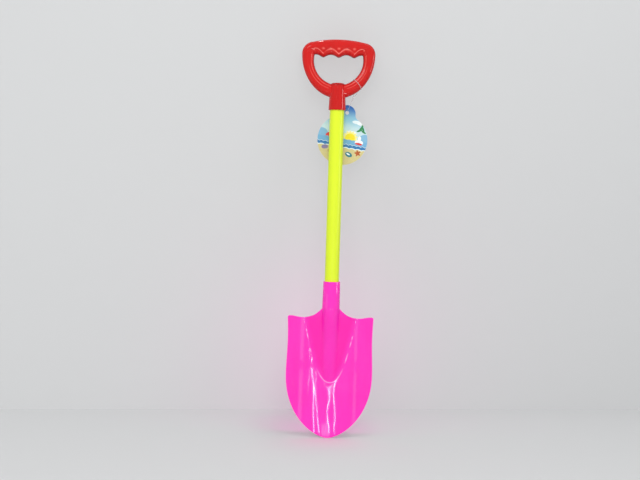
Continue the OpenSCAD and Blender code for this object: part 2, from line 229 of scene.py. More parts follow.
def bake(piece: bpy.types.Object) -> None:
    """Applies a piece's modifiers to its mesh.

    Args:
        piece: The piece, which gets a new mesh.
    """
    graph = bpy.context.evaluated_depsgraph_get()
    shaped = bpy.data.meshes.new_from_object(piece.evaluated_get(graph))
    piece.modifiers.clear()
    old, piece.data = piece.data, shaped
    bpy.data.meshes.remove(old)


def round_edges(piece: bpy.types.Object, width: float, angle: float = 50, segments: int = 3) -> None:
    """Rounds the edges of a piece that are sharper than an angle.

    Args:
        piece: The piece, whose mesh is changed.
        width: How far the rounding reaches into each face.
        angle: The least angle between two faces, in degrees.
        segments: How many faces make the rounding.
    """
    bevel = piece.modifiers.new("edges", "BEVEL")
    bevel.width = width
    bevel.segments = segments
    bevel.limit_method = "ANGLE"
    bevel.angle_limit = math.radians(angle)
    bake(piece)


def combine(piece: bpy.types.Object, others: Sequence[bpy.types.Object], how: str) -> None:
    """Adds or cuts whole solids, and removes what was added or cut with.

    Args:
        piece: The solid that is changed.
        others: The solids that are added to it or cut from it.
        how: UNION or DIFFERENCE.
    """
    for other in others:
        step = piece.modifiers.new(other.name, "BOOLEAN")
        step.operation = how
        step.solver = "EXACT"
        step.object = other
    bake(piece)
    for other in others:
        mesh = other.data
        bpy.data.objects.remove(other)
        bpy.data.meshes.remove(mesh)


def keep_creases(piece: bpy.types.Object, angle: float) -> None:
    """Shades a piece smooth but for edges sharper than an angle, in degrees."""
    shade_smooth(piece.data)
    piece.data.set_sharp_from_angle(angle=math.radians(angle))


def turned(name: str, profile: Array, sides: int = 192) -> bpy.types.Object:
    """A solid turned about Z from a closed profile.

    Args:
        name: The object's name.
        profile: One row of radius, height per point, once round the section.
        sides: How many steps make a full turn.

    Returns:
        The solid, of which each point is (r cos a, r sin a, z).
    """
    angle = np.linspace(0, 2 * np.pi, sides, endpoint=False)[:, None]
    r, z = profile[None, :, 0], profile[None, :, 1]
    points = np.stack([r * np.cos(angle), r * np.sin(angle), z + 0 * angle], -1).reshape(-1, 3)
    return loose_object(name, make_mesh(name, points, quads(sides, len(profile), True, True)))


def round_corner(
    centre: Sequence[float], radius: float, start: float, end: float, steps: int = 5
) -> Array:
    """Points of an arc about a centre, from one angle to another in degrees."""
    return np.asarray(centre) + polar(radius, np.linspace(start, end, steps))


def mask(piece: bpy.types.Object, name: str, share: Callable[[Array], Array]) -> None:
    """Stores a share from 0 to 1 at each point, for the piece's material.

    Args:
        piece: The piece, whose mesh gets the attribute.
        name: The attribute's name.
        share: Gives 0 to 1 for rows of x, y, z.
    """
    mesh = piece.data
    points = np.empty(len(mesh.vertices) * 3, np.float32)
    mesh.vertices.foreach_get("co", points)
    layer = mesh.attributes.new(name, "FLOAT", "POINT")
    layer.data.foreach_set("value", share(points.reshape(-1, 3).astype(float)).astype(np.float32))


def line_distance(points: Array, line: Array) -> Array:
    """Least distance from each point to a polyline's stations, in the plane of both.

    Args:
        points: One row of two coordinates per point.
        line: One row of two coordinates per station.

    Returns:
        One distance per point, worked out in blocks of 4096 points to spare memory.
    """
    gap, block = np.empty(len(points)), 4096
    for start in range(0, len(points), block):
        part = points[start : start + block, None, :] - line[None, :, :]
        gap[start : start + block] = np.sqrt((part**2).sum(-1).min(1))
    return gap


def place(
    piece: bpy.types.Object,
    body: Body,
    slot: Slot,
    node: str,
    materials: Sequence[bpy.types.Material],
) -> bpy.types.Object:
    """Hangs a finished piece on its body in the place of its frame node.

    Args:
        piece: The finished piece.
        body: The body that it moves with.
        slot: The record's material slot that it is made of; not used.
        node: The frame's node that it stands for.
        materials: Its materials, by the number that its faces name.

    Returns:
        The piece.
    """
    # Clearing the list also resets the material numbers of the faces, so an empty list stays.
    if piece.data.materials:
        piece.data.materials.clear()
    for material in materials:
        piece.data.materials.append(material)
    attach(piece, body.value)
    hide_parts(node)
    return piece


@dataclass(frozen=True)
class ShaftLine:
    """Heights and radii that the pieces along the shaft share."""

    tube_r: float = 12.7 * MM
    tube_wall: float = 1.4 * MM
    tube_fit: float = 0.05 * MM
    foot_z: float = 233.5 * MM
    mouth_z: float = 281 * MM
    tube_foot_z: float = 236 * MM
    tube_top_z: float = 620 * MM
    handle_z: float = 585.5 * MM
    handle_top_z: float = 633.5 * MM
    opening_z: float = 673.6 * MM

    @property
    def bore_r(self) -> float:
        """Radius of both sockets' bores."""
        return self.tube_r + self.tube_fit


@dataclass(frozen=True)
class BladeMarks:
    """Where the blade gets a lighter rim, a painted highlight on its crease and painted shade.

    The half width of the painted highlight line round the bulge is a power of its height. The line
    is full up to line_full over the bulge's foot and ends at line_end. A streak is a short painted
    highlight on the crease: a side, -1 or 1, a height and half a length, both in millimetres. The
    painted shade lies on the bulge's flanks, between its middle band and its creases.
    """

    rim_fade: float = 1.0 * MM
    rim_share: float = 0.6
    line_power: float = 0.45
    line_drop: float = 1.5 * MM
    line_fade: float = 0.9 * MM
    line_reach: float = 1.3
    line_full: float = 8 * MM
    line_end: float = 26 * MM
    aside: float = 2 * MM
    aside_run: float = 50 * MM
    streaks: tuple[tuple[int, float, float], ...] = (
        (-1, 192, 3), (-1, 183, 5.5), (-1, 156, 4), (1, 180, 4), (1, 169, 6), (1, 143, 9))
    streak_reach: float = 1.2
    band_low: float = 6 * MM
    band_high: float = 11 * MM
    band_fade: float = 5 * MM
    crease_fade: float = 9 * MM
    top_fade: float = 12 * MM


@dataclass
class Blade:
    """The blade: a dished shell with a bulge that runs down from its socket."""

    line: ShaftLine
    marks: BladeMarks = BladeMarks()
    width: float = 154.5 * MM
    length: float = 215.7 * MM
    taper: float = 115 * MM
    ogive_power: float = 2.1
    ogive_root: float = 1.65
    waist_in: float = 1.8 * MM
    waist_run_share: float = 1.1
    wall: float = 2.5 * MM
    dish_depth: float = 18 * MM
    dish_back: float = 12 * MM
    dish_run: float = 130 * MM
    shoulder_rise: float = 17.8 * MM
    shoulder_reach: float = 50 * MM
    shoulder_power: float = 2.18
    horn_rise: float = 3.3 * MM
    horn_run_share: float = 0.9
    corner_r: float = 3 * MM
    bulge_foot_z: float = 99.5 * MM
    bulge_w: float = 93 * MM
    flank_slope: float = 0.27
    ridge_slope: float = 0.22
    ridge_round_share: float = 0.52
    nose_inset: float = 0.1 * MM
    nose_fillet_share: float = 0.26
    crease_fillet: float = 0.8 * MM
    fillet_run: float = 8 * MM
    least_fillet_share: float = 0.02
    rib_wall: float = 1.8 * MM
    foot_r: float = 15.85 * MM
    mouth_r: float = 15.05 * MM
    lip_r: float = 0.7 * MM
    lip_angle: float = 5.0
    rim_round: float = 0.6 * MM
    rib_shares: tuple[float, ...] = (0.5, 0.71, 0.92)
    rib_fill_share: float = 0.86
    slope_step: float = 0.5 * MM
    cols: int = 156
    rows: int = 260
    middle_spacing: float = 0.82
    row_power: float = 1.35
    rib_steps: int = 25
    crease_angle: float = 38.0

    @property
    def ridge_r(self) -> float:
        """Radius that rounds the bulge's middle line, and the start of the nose's fall."""
        return self.foot_r * self.ridge_round_share

    def half_width(self, z: Array) -> Array:
        """Half the width at a height: a blunt ogive, a slight waist and a rounded corner.

        Args:
            z: Heights over the point.

        Returns:
            Half widths: half of the width (1 - (1 - u)^power)^(1 / root), with u the height as a
            share of the taper, less one wave of a cosine and the corner's arc.
        """
        u = np.minimum(z, self.taper) / self.taper
        ogive = self.width / 2 * (1 - (1 - u) ** self.ogive_power) ** (1 / self.ogive_root)
        wave = np.maximum(z - self.taper, 0) / (self.taper * self.waist_run_share)
        into_corner = np.clip(z - (self.length + self.horn_rise - self.corner_r), 0, self.corner_r)
        corner = self.corner_r - np.sqrt(self.corner_r**2 - into_corner**2)
        return ogive - self.waist_in * (1 - np.cos(2 * np.pi * wave)) / 2 - corner

    def top_edge(self, x: Array) -> Array:
        """Height of the top edge: a climb to the socket inside, a rising horn outside.

        Args:
            x: Places across the blade.

        Returns:
            Heights: the length, plus a power of the share of the way in to the socket, plus half
            a wave of a cosine on the way out to the corner. Inside the socket it is a little
            higher, so that the sheet runs into the socket's floor.
        """
        a = np.abs(x)
        climb = np.clip((self.shoulder_reach - a) / (self.shoulder_reach - self.foot_r), 0, 1)
        horn_run = (self.width / 2 - self.shoulder_reach) * self.horn_run_share
        horn = np.clip((a - self.shoulder_reach) / horn_run, 0, 1)
        inside = np.where(a < self.foot_r, (self.line.tube_foot_z - self.line.foot_z) / 2, 0)
        return (
            self.length
            + self.shoulder_rise * climb**self.shoulder_power
            + self.horn_rise * (1 - np.cos(np.pi * horn)) / 2
            + inside
        )

    def crease(self, z: Array) -> Array:
        """Half the bulge's width between its creases at height z, which grows as a square root."""
        rise = np.maximum(z - self.bulge_foot_z, 0) / (self.length - self.bulge_foot_z)
        return self.bulge_w / 2 * np.sqrt(rise)

    def dish(self, x: Array, z: Array) -> Array:
        """The hollow: a parabola across, and a middle line that comes forward to the point."""
        rest = 1 - np.minimum(z, self.dish_run) / self.dish_run
        return self.dish_back * (1 - rest**2) - self.dish_depth * (2 * x / self.width) ** 2

    def roof(self, x: Array, z: Array) -> Array:
        """The bulge: a roof that falls away from its middle line and meets the dish in a crease.

        Args:
            x: Places across the blade.
            z: Heights over the point.

        Returns:
            Depths along Y: two flanks of even slope, which a hyperbola rounds in the middle,
            blended with the dish by a fillet that grows with the crease's half width.
        """
        w, r = self.crease(z), self.ridge_r
        roof = self.dish(w, z) - self.flank_slope * (np.sqrt(w**2 + r**2) - np.sqrt(x**2 + r**2))
        dish = self.dish(x, z)
        fillet = self.crease_fillet * np.clip(w / self.fillet_run, self.least_fillet_share, 1)
        return np.where(w > 0, blend_min(roof, dish, fillet), dish)

    def front(self, x: Array, z: Array) -> Array:
        """The front face: the socket's half cylinder carried on down and blended into the roof.

        Args:
            x: Places across the blade.
            z: Heights over the point.

        Returns:
            Depths along Y. The half cylinder's axis falls back below the socket's foot by
            slope d^2 / (d + r), where d is the distance below the foot and r the ridge's radius.
        """
        d = np.maximum(self.line.foot_z - z, 0)
        axis = self.ridge_slope * d**2 / (d + self.ridge_r)
        r = self.foot_r - self.nose_inset
        nose = axis - np.sqrt(np.maximum(r**2 - x**2, 0))
        roof = self.roof(x, z)
        blended = blend_min(nose, roof, self.foot_r * self.nose_fillet_share)
        return np.where(np.abs(x) >= r, roof, blended)

    def slopes(self, x: Array, z: Array) -> tuple[Array, Array]:
        """Slopes of the front face, from its depths a small step to each side.

        Args:
            x: Places across the blade.
            z: Heights over the point.

        Returns:
            Slope along X and slope along Z.
        """
        e = self.slope_step
        along_x = (self.front(x + e, z) - self.front(x - e, z)) / (2 * e)
        along_z = (self.front(x, z + e) - self.front(x, z - e)) / (2 * e)
        return along_x, along_z

    def depth(self, x: Array, z: Array) -> Array:
        """The wall along Y, up to twice as thick where the face slopes, to keep the sheet even."""
        along_x, along_z = self.slopes(x, z)
        return self.wall * np.minimum(np.sqrt(1 + along_x**2 + along_z**2), 2)

    def grid(self) -> tuple[Array, Array]:
        """Places of the grid's points: x is a share of the half width, z of the top edge.

        Returns:
            x and z, each with one row of points per height and one column per share.
        """
        even = np.linspace(-1, 1, self.cols + 1)
        share = even * mix(self.middle_spacing, 1.0, even**2)
        t = np.linspace(0, 1, self.rows + 1)[:, None] ** self.row_power
        z = self.top_edge(share * self.width / 2)[None, :] * t
        return share[None, :] * self.half_width(z), z

    def shell(self) -> bpy.types.Object:
        """The sheet: a front grid and a back grid that share their borders' walls.

        Returns:
            The sheet as a closed solid with a rounded rim.
        """
        x, z = self.grid()
        y = self.front(x, z)
        front = np.stack([x, y, z], -1)
        back = np.stack([x, y + self.depth(x, z), z], -1)
        back[0] = [0, self.wall, 0]
        rows, cols = x.shape
        count = rows * cols
        face = quads(rows, cols)
        number = np.arange(count).reshape(rows, cols)
        border = np.concatenate([number[:, 0], number[-1, 1:], number[-2::-1, -1]])
        a, b = border[:-1], border[1:]
        rim = np.stack([a, b, b + count, a + count], -1)
        seam = np.array([[number[0, 0], number[0, -1], number[0, -1] + count, number[0, 0] + count]])
        points = np.concatenate([front.reshape(-1, 3), back.reshape(-1, 3)])
        faces = np.concatenate([face, face[:, ::-1] + count, rim, seam])
        shell = loose_object("blade", make_mesh("blade", points, faces))
        round_edges(shell, self.rim_round)
        return shell

    def socket(self) -> bpy.types.Object:
        """The socket: a slightly tapered cup with a rounded lip, turned about Z.

        Returns:
            The cup as a closed solid.
        """
        line, lip = self.line, self.lip_r
        profile = np.concatenate([
            [[0, line.foot_z], [self.foot_r, line.foot_z]],
            round_corner([self.mouth_r - lip, line.mouth_z - lip], lip, self.lip_angle, 90),
            round_corner([line.bore_r + lip, line.mouth_z - lip], lip, 90, 180),
            [[line.bore_r, line.tube_foot_z], [0, line.tube_foot_z]],
        ])
        return turned("blade_socket", profile)

    def rib(self, outline: Array, axis: int, middle: float) -> bpy.types.Object:
        """A flat rib of even thickness.

        Args:
            outline: One row of two coordinates per point, once round the rib.
            axis: The coordinate across the rib: 0 for X, 2 for Z.
            middle: The place of the rib's middle on that axis.

        Returns:
            The rib as a closed solid.
        """
        sides = []
        for offset in (-self.rib_wall / 2, self.rib_wall / 2):
            flat = np.full(len(outline), middle + offset)
            sides.append(np.insert(outline, axis, flat, axis=1))
        n = len(outline)
        mesh = bpy.data.meshes.new("rib")
        walls = [[i, (i + 1) % n, n + (i + 1) % n, n + i] for i in range(n)]
        caps = [list(range(n)), list(range(2 * n - 1, n - 1, -1))]
        mesh.from_pydata(np.concatenate(sides).tolist(), [], walls + caps)
        weld(mesh)
        return loose_object("rib", mesh)

    def ribs(self) -> list[bpy.types.Object]:
        """Three cross ribs and one long rib in the hollow behind the bulge.

        Returns:
            The ribs. One edge of each follows the middle of the sheet, the other is straight.
        """
        made = []
        heights = [mix(self.bulge_foot_z, self.length, share) for share in self.rib_shares]
        for z in heights:
            w = float(self.crease(z)) * self.rib_fill_share
            x = np.linspace(-w, w, self.rib_steps)
            edge = np.stack([x, self.front(x, np.full_like(x, z)) + self.wall / 2], -1)
            back = float(self.dish(self.crease(z), z)) + self.wall / 2
            made.append(self.rib(np.concatenate([edge, [[w, back], [-w, back]]]), 2, z))
        top = (self.line.foot_z + self.line.tube_foot_z) / 2
        z = np.linspace(heights[0], top, self.rib_steps)
        edge = np.stack([self.front(np.zeros_like(z), z) + self.wall / 2, z], -1)
        low = float(self.dish(self.crease(heights[0]), heights[0]))
        ends = [[self.foot_r * self.rib_fill_share, z[-1]], [low, z[0]]]
        made.append(self.rib(np.concatenate([edge, ends]), 0, 0.0))
        return made

    def near_edge(self, points: Array) -> Array:
        """How close points lie to the rim or to the crease round the bulge.

        The rim gets a lighter colour and the crease a painted highlight. The crease counts fully round
        the bulge's foot, and above it only in short streaks of painted highlight.
        The distance from it is taken along Z and divided by the root of 1 plus its slope squared.

        Args:
            points: One row of x, y, z per point.

        Returns:
            A share from 0 to 1 per point.
        """
        x, z, marks = points[:, 0], points[:, 2], self.marks
        side = np.abs(self.half_width(np.clip(z, 0, self.length)) - np.abs(x))
        rim = np.minimum(side, np.abs(self.top_edge(x) - z))
        rim = np.where(np.abs(x) < self.foot_r, side, rim)
        foot_z, power = self.bulge_foot_z, 1 / marks.line_power
        middle = marks.aside * share_between(z, foot_z + marks.aside_run, foot_z)
        tall, half_w = self.length - foot_z, self.bulge_w / 2
        across = np.abs(x - middle) / half_w
        steep = tall / half_w * power * across ** (power - 1)
        off_line = z - foot_z + marks.line_drop - tall * across**power
        crease = np.abs(off_line) / np.sqrt(1 + steep**2)
        shown = share_between(z, foot_z + marks.line_end, foot_z + marks.line_full)
        for hand, height, half in marks.streaks:
            streak = near(np.abs(z - height * MM), half * MM, marks.streak_reach)
            shown = np.maximum(shown, np.where(x * hand > 0, streak, 0))
        in_front = points[:, 1] <= self.front(x, z) + self.wall / 2
        near_crease = near(crease, marks.line_fade, marks.line_reach) * shown
        near_rim = near(rim, marks.rim_fade) * marks.rim_share
        return np.maximum(near_rim, np.where(in_front, near_crease, 0))

    def on_flanks(self, points: Array) -> Array:
        """Share of the bulge's flanks, between its middle band and its creases, for a painted shade.

        The middle band widens with height. Below the bulge's foot there is no flank.

        Args:
            points: One row of x, y, z per point.

        Returns:
            A share from 0 to 1 per point.
        """
        x, z, marks = np.abs(points[:, 0]), points[:, 2], self.marks
        up = share_between(z, self.bulge_foot_z, self.length)
        inner = np.clip((x - mix(marks.band_low, marks.band_high, up)) / marks.band_fade, 0, 1)
        outer = np.clip((self.crease(z) - x) / marks.crease_fade, 0, 1)
        return inner * outer * share_between(z, self.length + marks.top_fade, self.length)

    def build(self, material: bpy.types.Material) -> bpy.types.Object:
        """Joins shell, socket and ribs into one moulding and dresses it.

        Args:
            material: The moulding's material.

        Returns:
            The finished blade.
        """
        piece = self.shell()
        combine(piece, [self.socket(), *self.ribs()], "UNION")
        keep_creases(piece, self.crease_angle)
        # A lighter rim and a painted highlight on the crease.
        mask(piece, "painted_highlight_and_rim", self.near_edge)
        # Painted shade: a darker colour on the bulge's flanks.
        mask(piece, "painted_shade_mask", self.on_flanks)
        return place(piece, Body.SHOVEL, Slot.BLADE, "blade", [material])


@dataclass
class Tube:
    """The shaft: a length of tube with broken edges at both ends."""

    line: ShaftLine
    edge: float = 0.3 * MM
    rows: int = 49
    crease_angle: float = 30.0

    def build(self, material: bpy.types.Material) -> bpy.types.Object:
        """Turns the tube about the shaft's axis and dresses it.

        Args:
            material: The tube's material.

        Returns:
            The finished tube.
        """
        line, e = self.line, self.edge
        outer, inner = line.tube_r, line.tube_r - line.tube_wall
        low, high = line.tube_foot_z, line.tube_top_z
        profile = np.concatenate([
            [[outer - e, low]],
            np.stack([np.full(self.rows, outer), np.linspace(low + e, high - e, self.rows)], -1),
            [[outer - e, high], [inner + e, high]],
            [[inner, high - e], [inner, low + e], [inner + e, low]],
        ])
        piece = turned("shaft_tube", profile)
        keep_creases(piece, self.crease_angle)
        return place(piece, Body.SHOVEL, Slot.TUBE, "shaft_tube", [material])


@dataclass(frozen=True)
class GripMarks:
    """Where the handle gets painted highlights on its edges and ridges and painted shade in its
    opening.
    """

    edge_fade: float = 0.7 * MM
    edge_reach: float = 1.2
    ring_share: float = 0.5
    bar_from: float = 3 * MM
    bar_full: float = 11 * MM
    second_out: float = 9.4 * MM
    second_reach: float = 1.1
    second_share: float = 0.45
    second_from: float = -8 * MM
    second_full: float = -22 * MM
    socket_fade: float = 2 * MM
    spot_fade: float = 1.7 * MM
    spot_reach: float = 1.4
    spot_share: float = 0.5
    spot_stretch: float = 1.5
    face_inset: float = 1.5 * MM
    wall_fade: float = 0.9 * MM
    wall_reach: float = 1.7
    dome_share: float = 0.6
    dome_from: float = -2 * MM
    dome_full: float = -1 * MM
    dome_end: float = 1 * MM


@dataclass
class Handle:
    """The D-grip: a ring whose bar has grooves for four fingers, on a domed socket."""

    line: ShaftLine
    marks: GripMarks = GripMarks()
    opening_r: float = 43.5 * MM
    grip_w: float = 130.2 * MM
    crown_rise: float = 37 * MM
    crown_r: float = 217 * MM
    corner_r: float = 21 * MM
    ring_foot_w: float = 23.5 * MM
    ring_depth: float = 18 * MM
    bar_depth: float = 21 * MM
    pitch: float = 27.35 * MM
    ridges: tuple[int, ...] = (-1, 0, 1)
    bar_pitches: float = 1.5
    groove_rise: float = 9.4 * MM
    groove_depth: float = 4.8 * MM
    groove_soft: float = 0.3
    edge_rise: float = 19.5 * MM
    edge_depth: float = 8.6 * MM
    edge_soft: float = 0.06
    band_w: float = 5 * MM
    mouth_r: float = 15.3 * MM
    lip_r: float = 0.6 * MM
    bore_lip: float = 0.5 * MM
    top_r: float = 13.6 * MM
    dome_r: float = 5 * MM
    dome_foot_angle: float = 3.0
    crown_share: float = 0.58
    edge_depth_share: float = 0.86
    edge_turn: float = 74.0
    end_angle: float = 7.0
    ring_steps: int = 96
    corner_steps: int = 26
    bar_steps: int = 90
    inner_points: int = 11
    rise_points: int = 9
    outer_points: int = 19
    dome_points: int = 13
    crease_angle: float = 32.0

    def finger(self, x: Array, soft: float) -> Array:
        """A wave, 0 at each ridge and 1 in each groove: a sine's size, with soft rounding at 0."""
        s = np.sin(np.pi * x / self.pitch)
        return (np.sqrt(s**2 + soft**2) - soft) / (np.sqrt(1 + soft**2) - soft)

    def corner_centre(self) -> tuple[float, float]:
        """Centre of the outer corner, which touches the side and the crown's long arc.

        Returns:
            x and z of the centre.
        """
        x = self.grip_w / 2 - self.corner_r
        low = self.line.opening_z + self.crown_rise - self.crown_r
        return x, low + math.sqrt((self.crown_r - self.corner_r) ** 2 - x * x)

    def groove_line(self, x: Array, rise: float, depth: float, soft: float) -> Array:
        """Height of a grooved line over the opening's centre."""
        return self.line.opening_z + rise - depth * (1 - self.finger(x, soft))

    def round_opening(self, radius: float, rise: float, depth: float, soft: float) -> Array:
        """Right half of a line round the opening, from the bottom to the middle of the bar.

        Args:
            radius: Radius of its lower half.
            rise: Height of its grooves over the opening's centre.
            depth: Depth of its grooves.
            soft: Rounding of the ridges between them.

        Returns:
            One row of x, z per station: an arc, a quadratic bend and the grooved bar.
        """
        centre_z = self.line.opening_z
        a = np.radians(np.linspace(-90, self.end_angle, self.ring_steps + 1))
        ring = np.stack([radius * np.cos(a), centre_z + radius * np.sin(a)], -1)
        x = np.linspace(self.pitch * self.bar_pitches, 0, self.bar_steps + 1)
        bar = np.stack([x, self.groove_line(x, rise, depth, soft)], -1)
        t = np.linspace(0, 1, self.corner_steps + 1)[1:-1, None]
        knee = np.array([ring[-1, 0], bar[0, 1]])
        turn = ring[-1] * (1 - t) ** 2 + knee * 2 * t * (1 - t) + bar[0] * t**2
        return np.concatenate([ring, turn, bar])

    def opening_line(self) -> Array:
        """Right half of the opening's own line."""
        return self.round_opening(
            self.opening_r, self.groove_rise, self.groove_depth, self.groove_soft)

    def front_edge(self) -> Array:
        """Right half of the front edge round the opening, a band's width further out."""
        return self.round_opening(
            self.opening_r + self.band_w, self.edge_rise, self.edge_depth, self.edge_soft)

    def outer_line(self) -> Array:
        """Right half of the outline, from the bottom to the middle of the crown.

        Returns:
            One row of x, z per station: half an oval, the corner's arc and the crown's long arc.
        """
        cx, cz = self.corner_centre()
        foot_z = self.line.opening_z - self.opening_r - self.ring_foot_w
        a = np.radians(np.linspace(-90, 0, self.ring_steps + 1))
        ring = np.stack([self.grip_w / 2 * np.cos(a), cz + (cz - foot_z) * np.sin(a)], -1)
        low = self.line.opening_z + self.crown_rise - self.crown_r
        end = math.atan2(cz - low, cx)
        b = np.linspace(0, end, self.corner_steps + 1)[1:-1]
        corner = np.stack([cx + self.corner_r * np.cos(b), cz + self.corner_r * np.sin(b)], -1)
        x = np.linspace(self.crown_r * math.cos(end), 0, self.bar_steps + 1)
        crown = np.stack([x, low + np.sqrt(self.crown_r**2 - x**2)], -1)
        return np.concatenate([ring, corner, crown])

    def sections(self, w: Array, edge: Array, h: Array) -> tuple[Array, Array]:
        """Front half of the section at each station.

        It runs as a quarter oval from the opening to the front edge, then as an oval up to the
        crown, then as a quarter oval down to the outside.

        Args:
            w: Width of each station's section.
            edge: Distance of its front edge from the opening.
            h: Half of its depth.

        Returns:
            Distance from the opening and depth in front, one row per station.
        """
        w, edge, h = w[:, None], edge[:, None], h[:, None]
        mid, deep = w * self.crown_share, h * self.edge_depth_share
        spread = (mid - edge) / math.sqrt(1 - self.edge_depth_share**2)
        a = np.radians(np.linspace(0, self.edge_turn, self.inner_points))[None, :]
        inner = edge * (1 - np.cos(a)), deep * np.sin(a)
        t = np.linspace(0, 1, self.rise_points)[None, :-1]
        rise = mix(edge, mid, t)
        top = rise, h * np.sqrt(1 - ((mid - rise) / spread) ** 2)
        b = np.radians(np.linspace(90, 0, self.outer_points))[None, :]
        outer = mid + (w - mid) * np.cos(b), h * np.sin(b)
        return tuple(np.concatenate([i, m, o], 1) for i, m, o in zip(inner, top, outer))

    def ring(self) -> bpy.types.Object:
        """The ring: sections carried round the loop of stations, right half and left half.

        Returns:
            The ring as a closed solid, whose depth changes over the corner by 3 t^2 - 2 t^3.
        """
        a, e, b = self.opening_line(), self.front_edge(), self.outer_line()
        w = np.linalg.norm(b - a, axis=1)
        across = (b - a) / w[:, None]
        edge = np.minimum(((e - a) * across).sum(1), w * self.crown_share * self.edge_depth_share)
        t = np.clip((np.arange(len(a)) - self.ring_steps) / self.corner_steps, 0, 1)
        half = mix(self.ring_depth, self.bar_depth, t * t * (3 - 2 * t)) / 2
        out, deep = self.sections(w, edge, half)
        out = np.concatenate([out, out[:, -2:0:-1]], 1)
        deep = np.concatenate([-deep, deep[:, -2:0:-1]], 1)
        right = np.stack([
            a[:, :1] + across[:, :1] * out, deep, a[:, 1:] + across[:, 1:] * out], -1)
        left = right[-2:0:-1] * [-1, 1, 1]
        loop = np.concatenate([right, left])
        faces = quads(*loop.shape[:2], True, True)
        return loose_object("handle", make_mesh("handle", loop.reshape(-1, 3), faces))

    def socket(self) -> bpy.types.Object:
        """The socket: a tapered cup's outside with a domed top and a rounded lip.

        Returns:
            The cup as a closed solid, turned about Z.
        """
        line, lip = self.line, self.lip_r
        shoulder = [self.top_r - self.dome_r, line.handle_top_z - self.dome_r]
        profile = np.concatenate([
            [[0, line.handle_z]],
            round_corner([self.mouth_r - lip, line.handle_z + lip], lip, -90, 0),
            round_corner(shoulder, self.dome_r, self.dome_foot_angle, 90, self.dome_points),
            [[0, line.handle_top_z]],
        ])
        return turned("handle_socket", profile)

    def bore(self) -> bpy.types.Object:
        """What the tube's bore takes out of the socket.

        Returns:
            A rod with a wider foot, which breaks the mouth's inner edge.
        """
        r, line, lip = self.line.bore_r, self.line, self.bore_lip
        profile = np.array([
            [0, line.handle_z - lip], [r + 2 * lip, line.handle_z - lip], [r, line.handle_z + lip],
            [r, line.tube_top_z], [0, line.tube_top_z]])
        return turned("handle_bore", profile)

    def near_edge(self, points: Array) -> Array:
        """How close points lie to the front edges round the opening, which get a painted highlight.

        The edges count fully on the bar and less on the ring. A second, fainter painted highlight runs
        round the lower ring, a band's width further out, and a painted highlight spot lies over each
        ridge.

        Args:
            points: One row of x, y, z per point.

        Returns:
            A share from 0 to 1 per point.
        """
        marks, across = self.marks, points[:, 0]
        up = points[:, 2] - self.line.opening_z
        gap = self.gap_to(points, self.front_edge())
        on_bar = share_between(up, marks.bar_from, marks.bar_full)
        edges = near(gap, marks.edge_fade, marks.edge_reach) * mix(marks.ring_share, 1.0, on_bar)
        past_second = np.abs(np.hypot(across, up) - self.opening_r - marks.second_out)
        second = near(past_second, marks.edge_fade, marks.second_reach) * marks.second_share
        low = share_between(up, marks.second_from, marks.second_full)
        outside = np.clip((np.abs(across) - self.mouth_r) / marks.socket_fade, 0, 1)
        edges = np.maximum(edges, second * low * outside)
        for ridge in self.ridges:
            away = np.hypot((across - ridge * self.pitch) / marks.spot_stretch, up - self.edge_rise)
            spot = near(away, marks.spot_fade, marks.spot_reach) * marks.spot_share
            edges = np.maximum(edges, spot)
        face_y = self.ring_depth * self.edge_depth_share / 2 - marks.face_inset
        return np.where(np.abs(points[:, 1]) > face_y, edges, 0)

    def in_opening(self, points: Array) -> Array:
        """How close points lie to the opening's wall or to the dome's top, which get a painted shade.

        Args:
            points: One row of x, y, z per point.

        Returns:
            A share from 0 to 1 per point.
        """
        marks = self.marks
        wall = near(self.gap_to(points, self.opening_line()), marks.wall_fade, marks.wall_reach)
        over = points[:, 2] - self.line.handle_top_z
        on_dome = (over < marks.dome_end) & (np.abs(points[:, 0]) < self.mouth_r)
        dome = marks.dome_share * share_between(over, marks.dome_from, marks.dome_full)
        return np.maximum(wall, np.where(on_dome, dome, 0))

    def gap_to(self, points: Array, half: Array) -> Array:
        """Distance, seen from the front, from points to a line given by its right half."""
        return line_distance(points[:, [0, 2]], np.concatenate([half, half[::-1] * [-1, 1]]))

    def build(self, material: bpy.types.Material) -> bpy.types.Object:
        """Joins ring and socket, bores the socket and dresses the moulding.

        Args:
            material: The moulding's material.

        Returns:
            The finished handle.
        """
        piece = self.ring()
        combine(piece, [self.socket()], "UNION")
        combine(piece, [self.bore()], "DIFFERENCE")
        keep_creases(piece, self.crease_angle)
        # Painted highlights on the edges round the opening and over the ridges.
        mask(piece, "painted_highlight_and_rim", self.near_edge)
        # Painted shade: a darker red on the opening's wall and the dome's top.
        mask(piece, "painted_shade_mask", self.in_opening)
        return place(piece, Body.SHOVEL, Slot.HANDLE, "handle", [material])


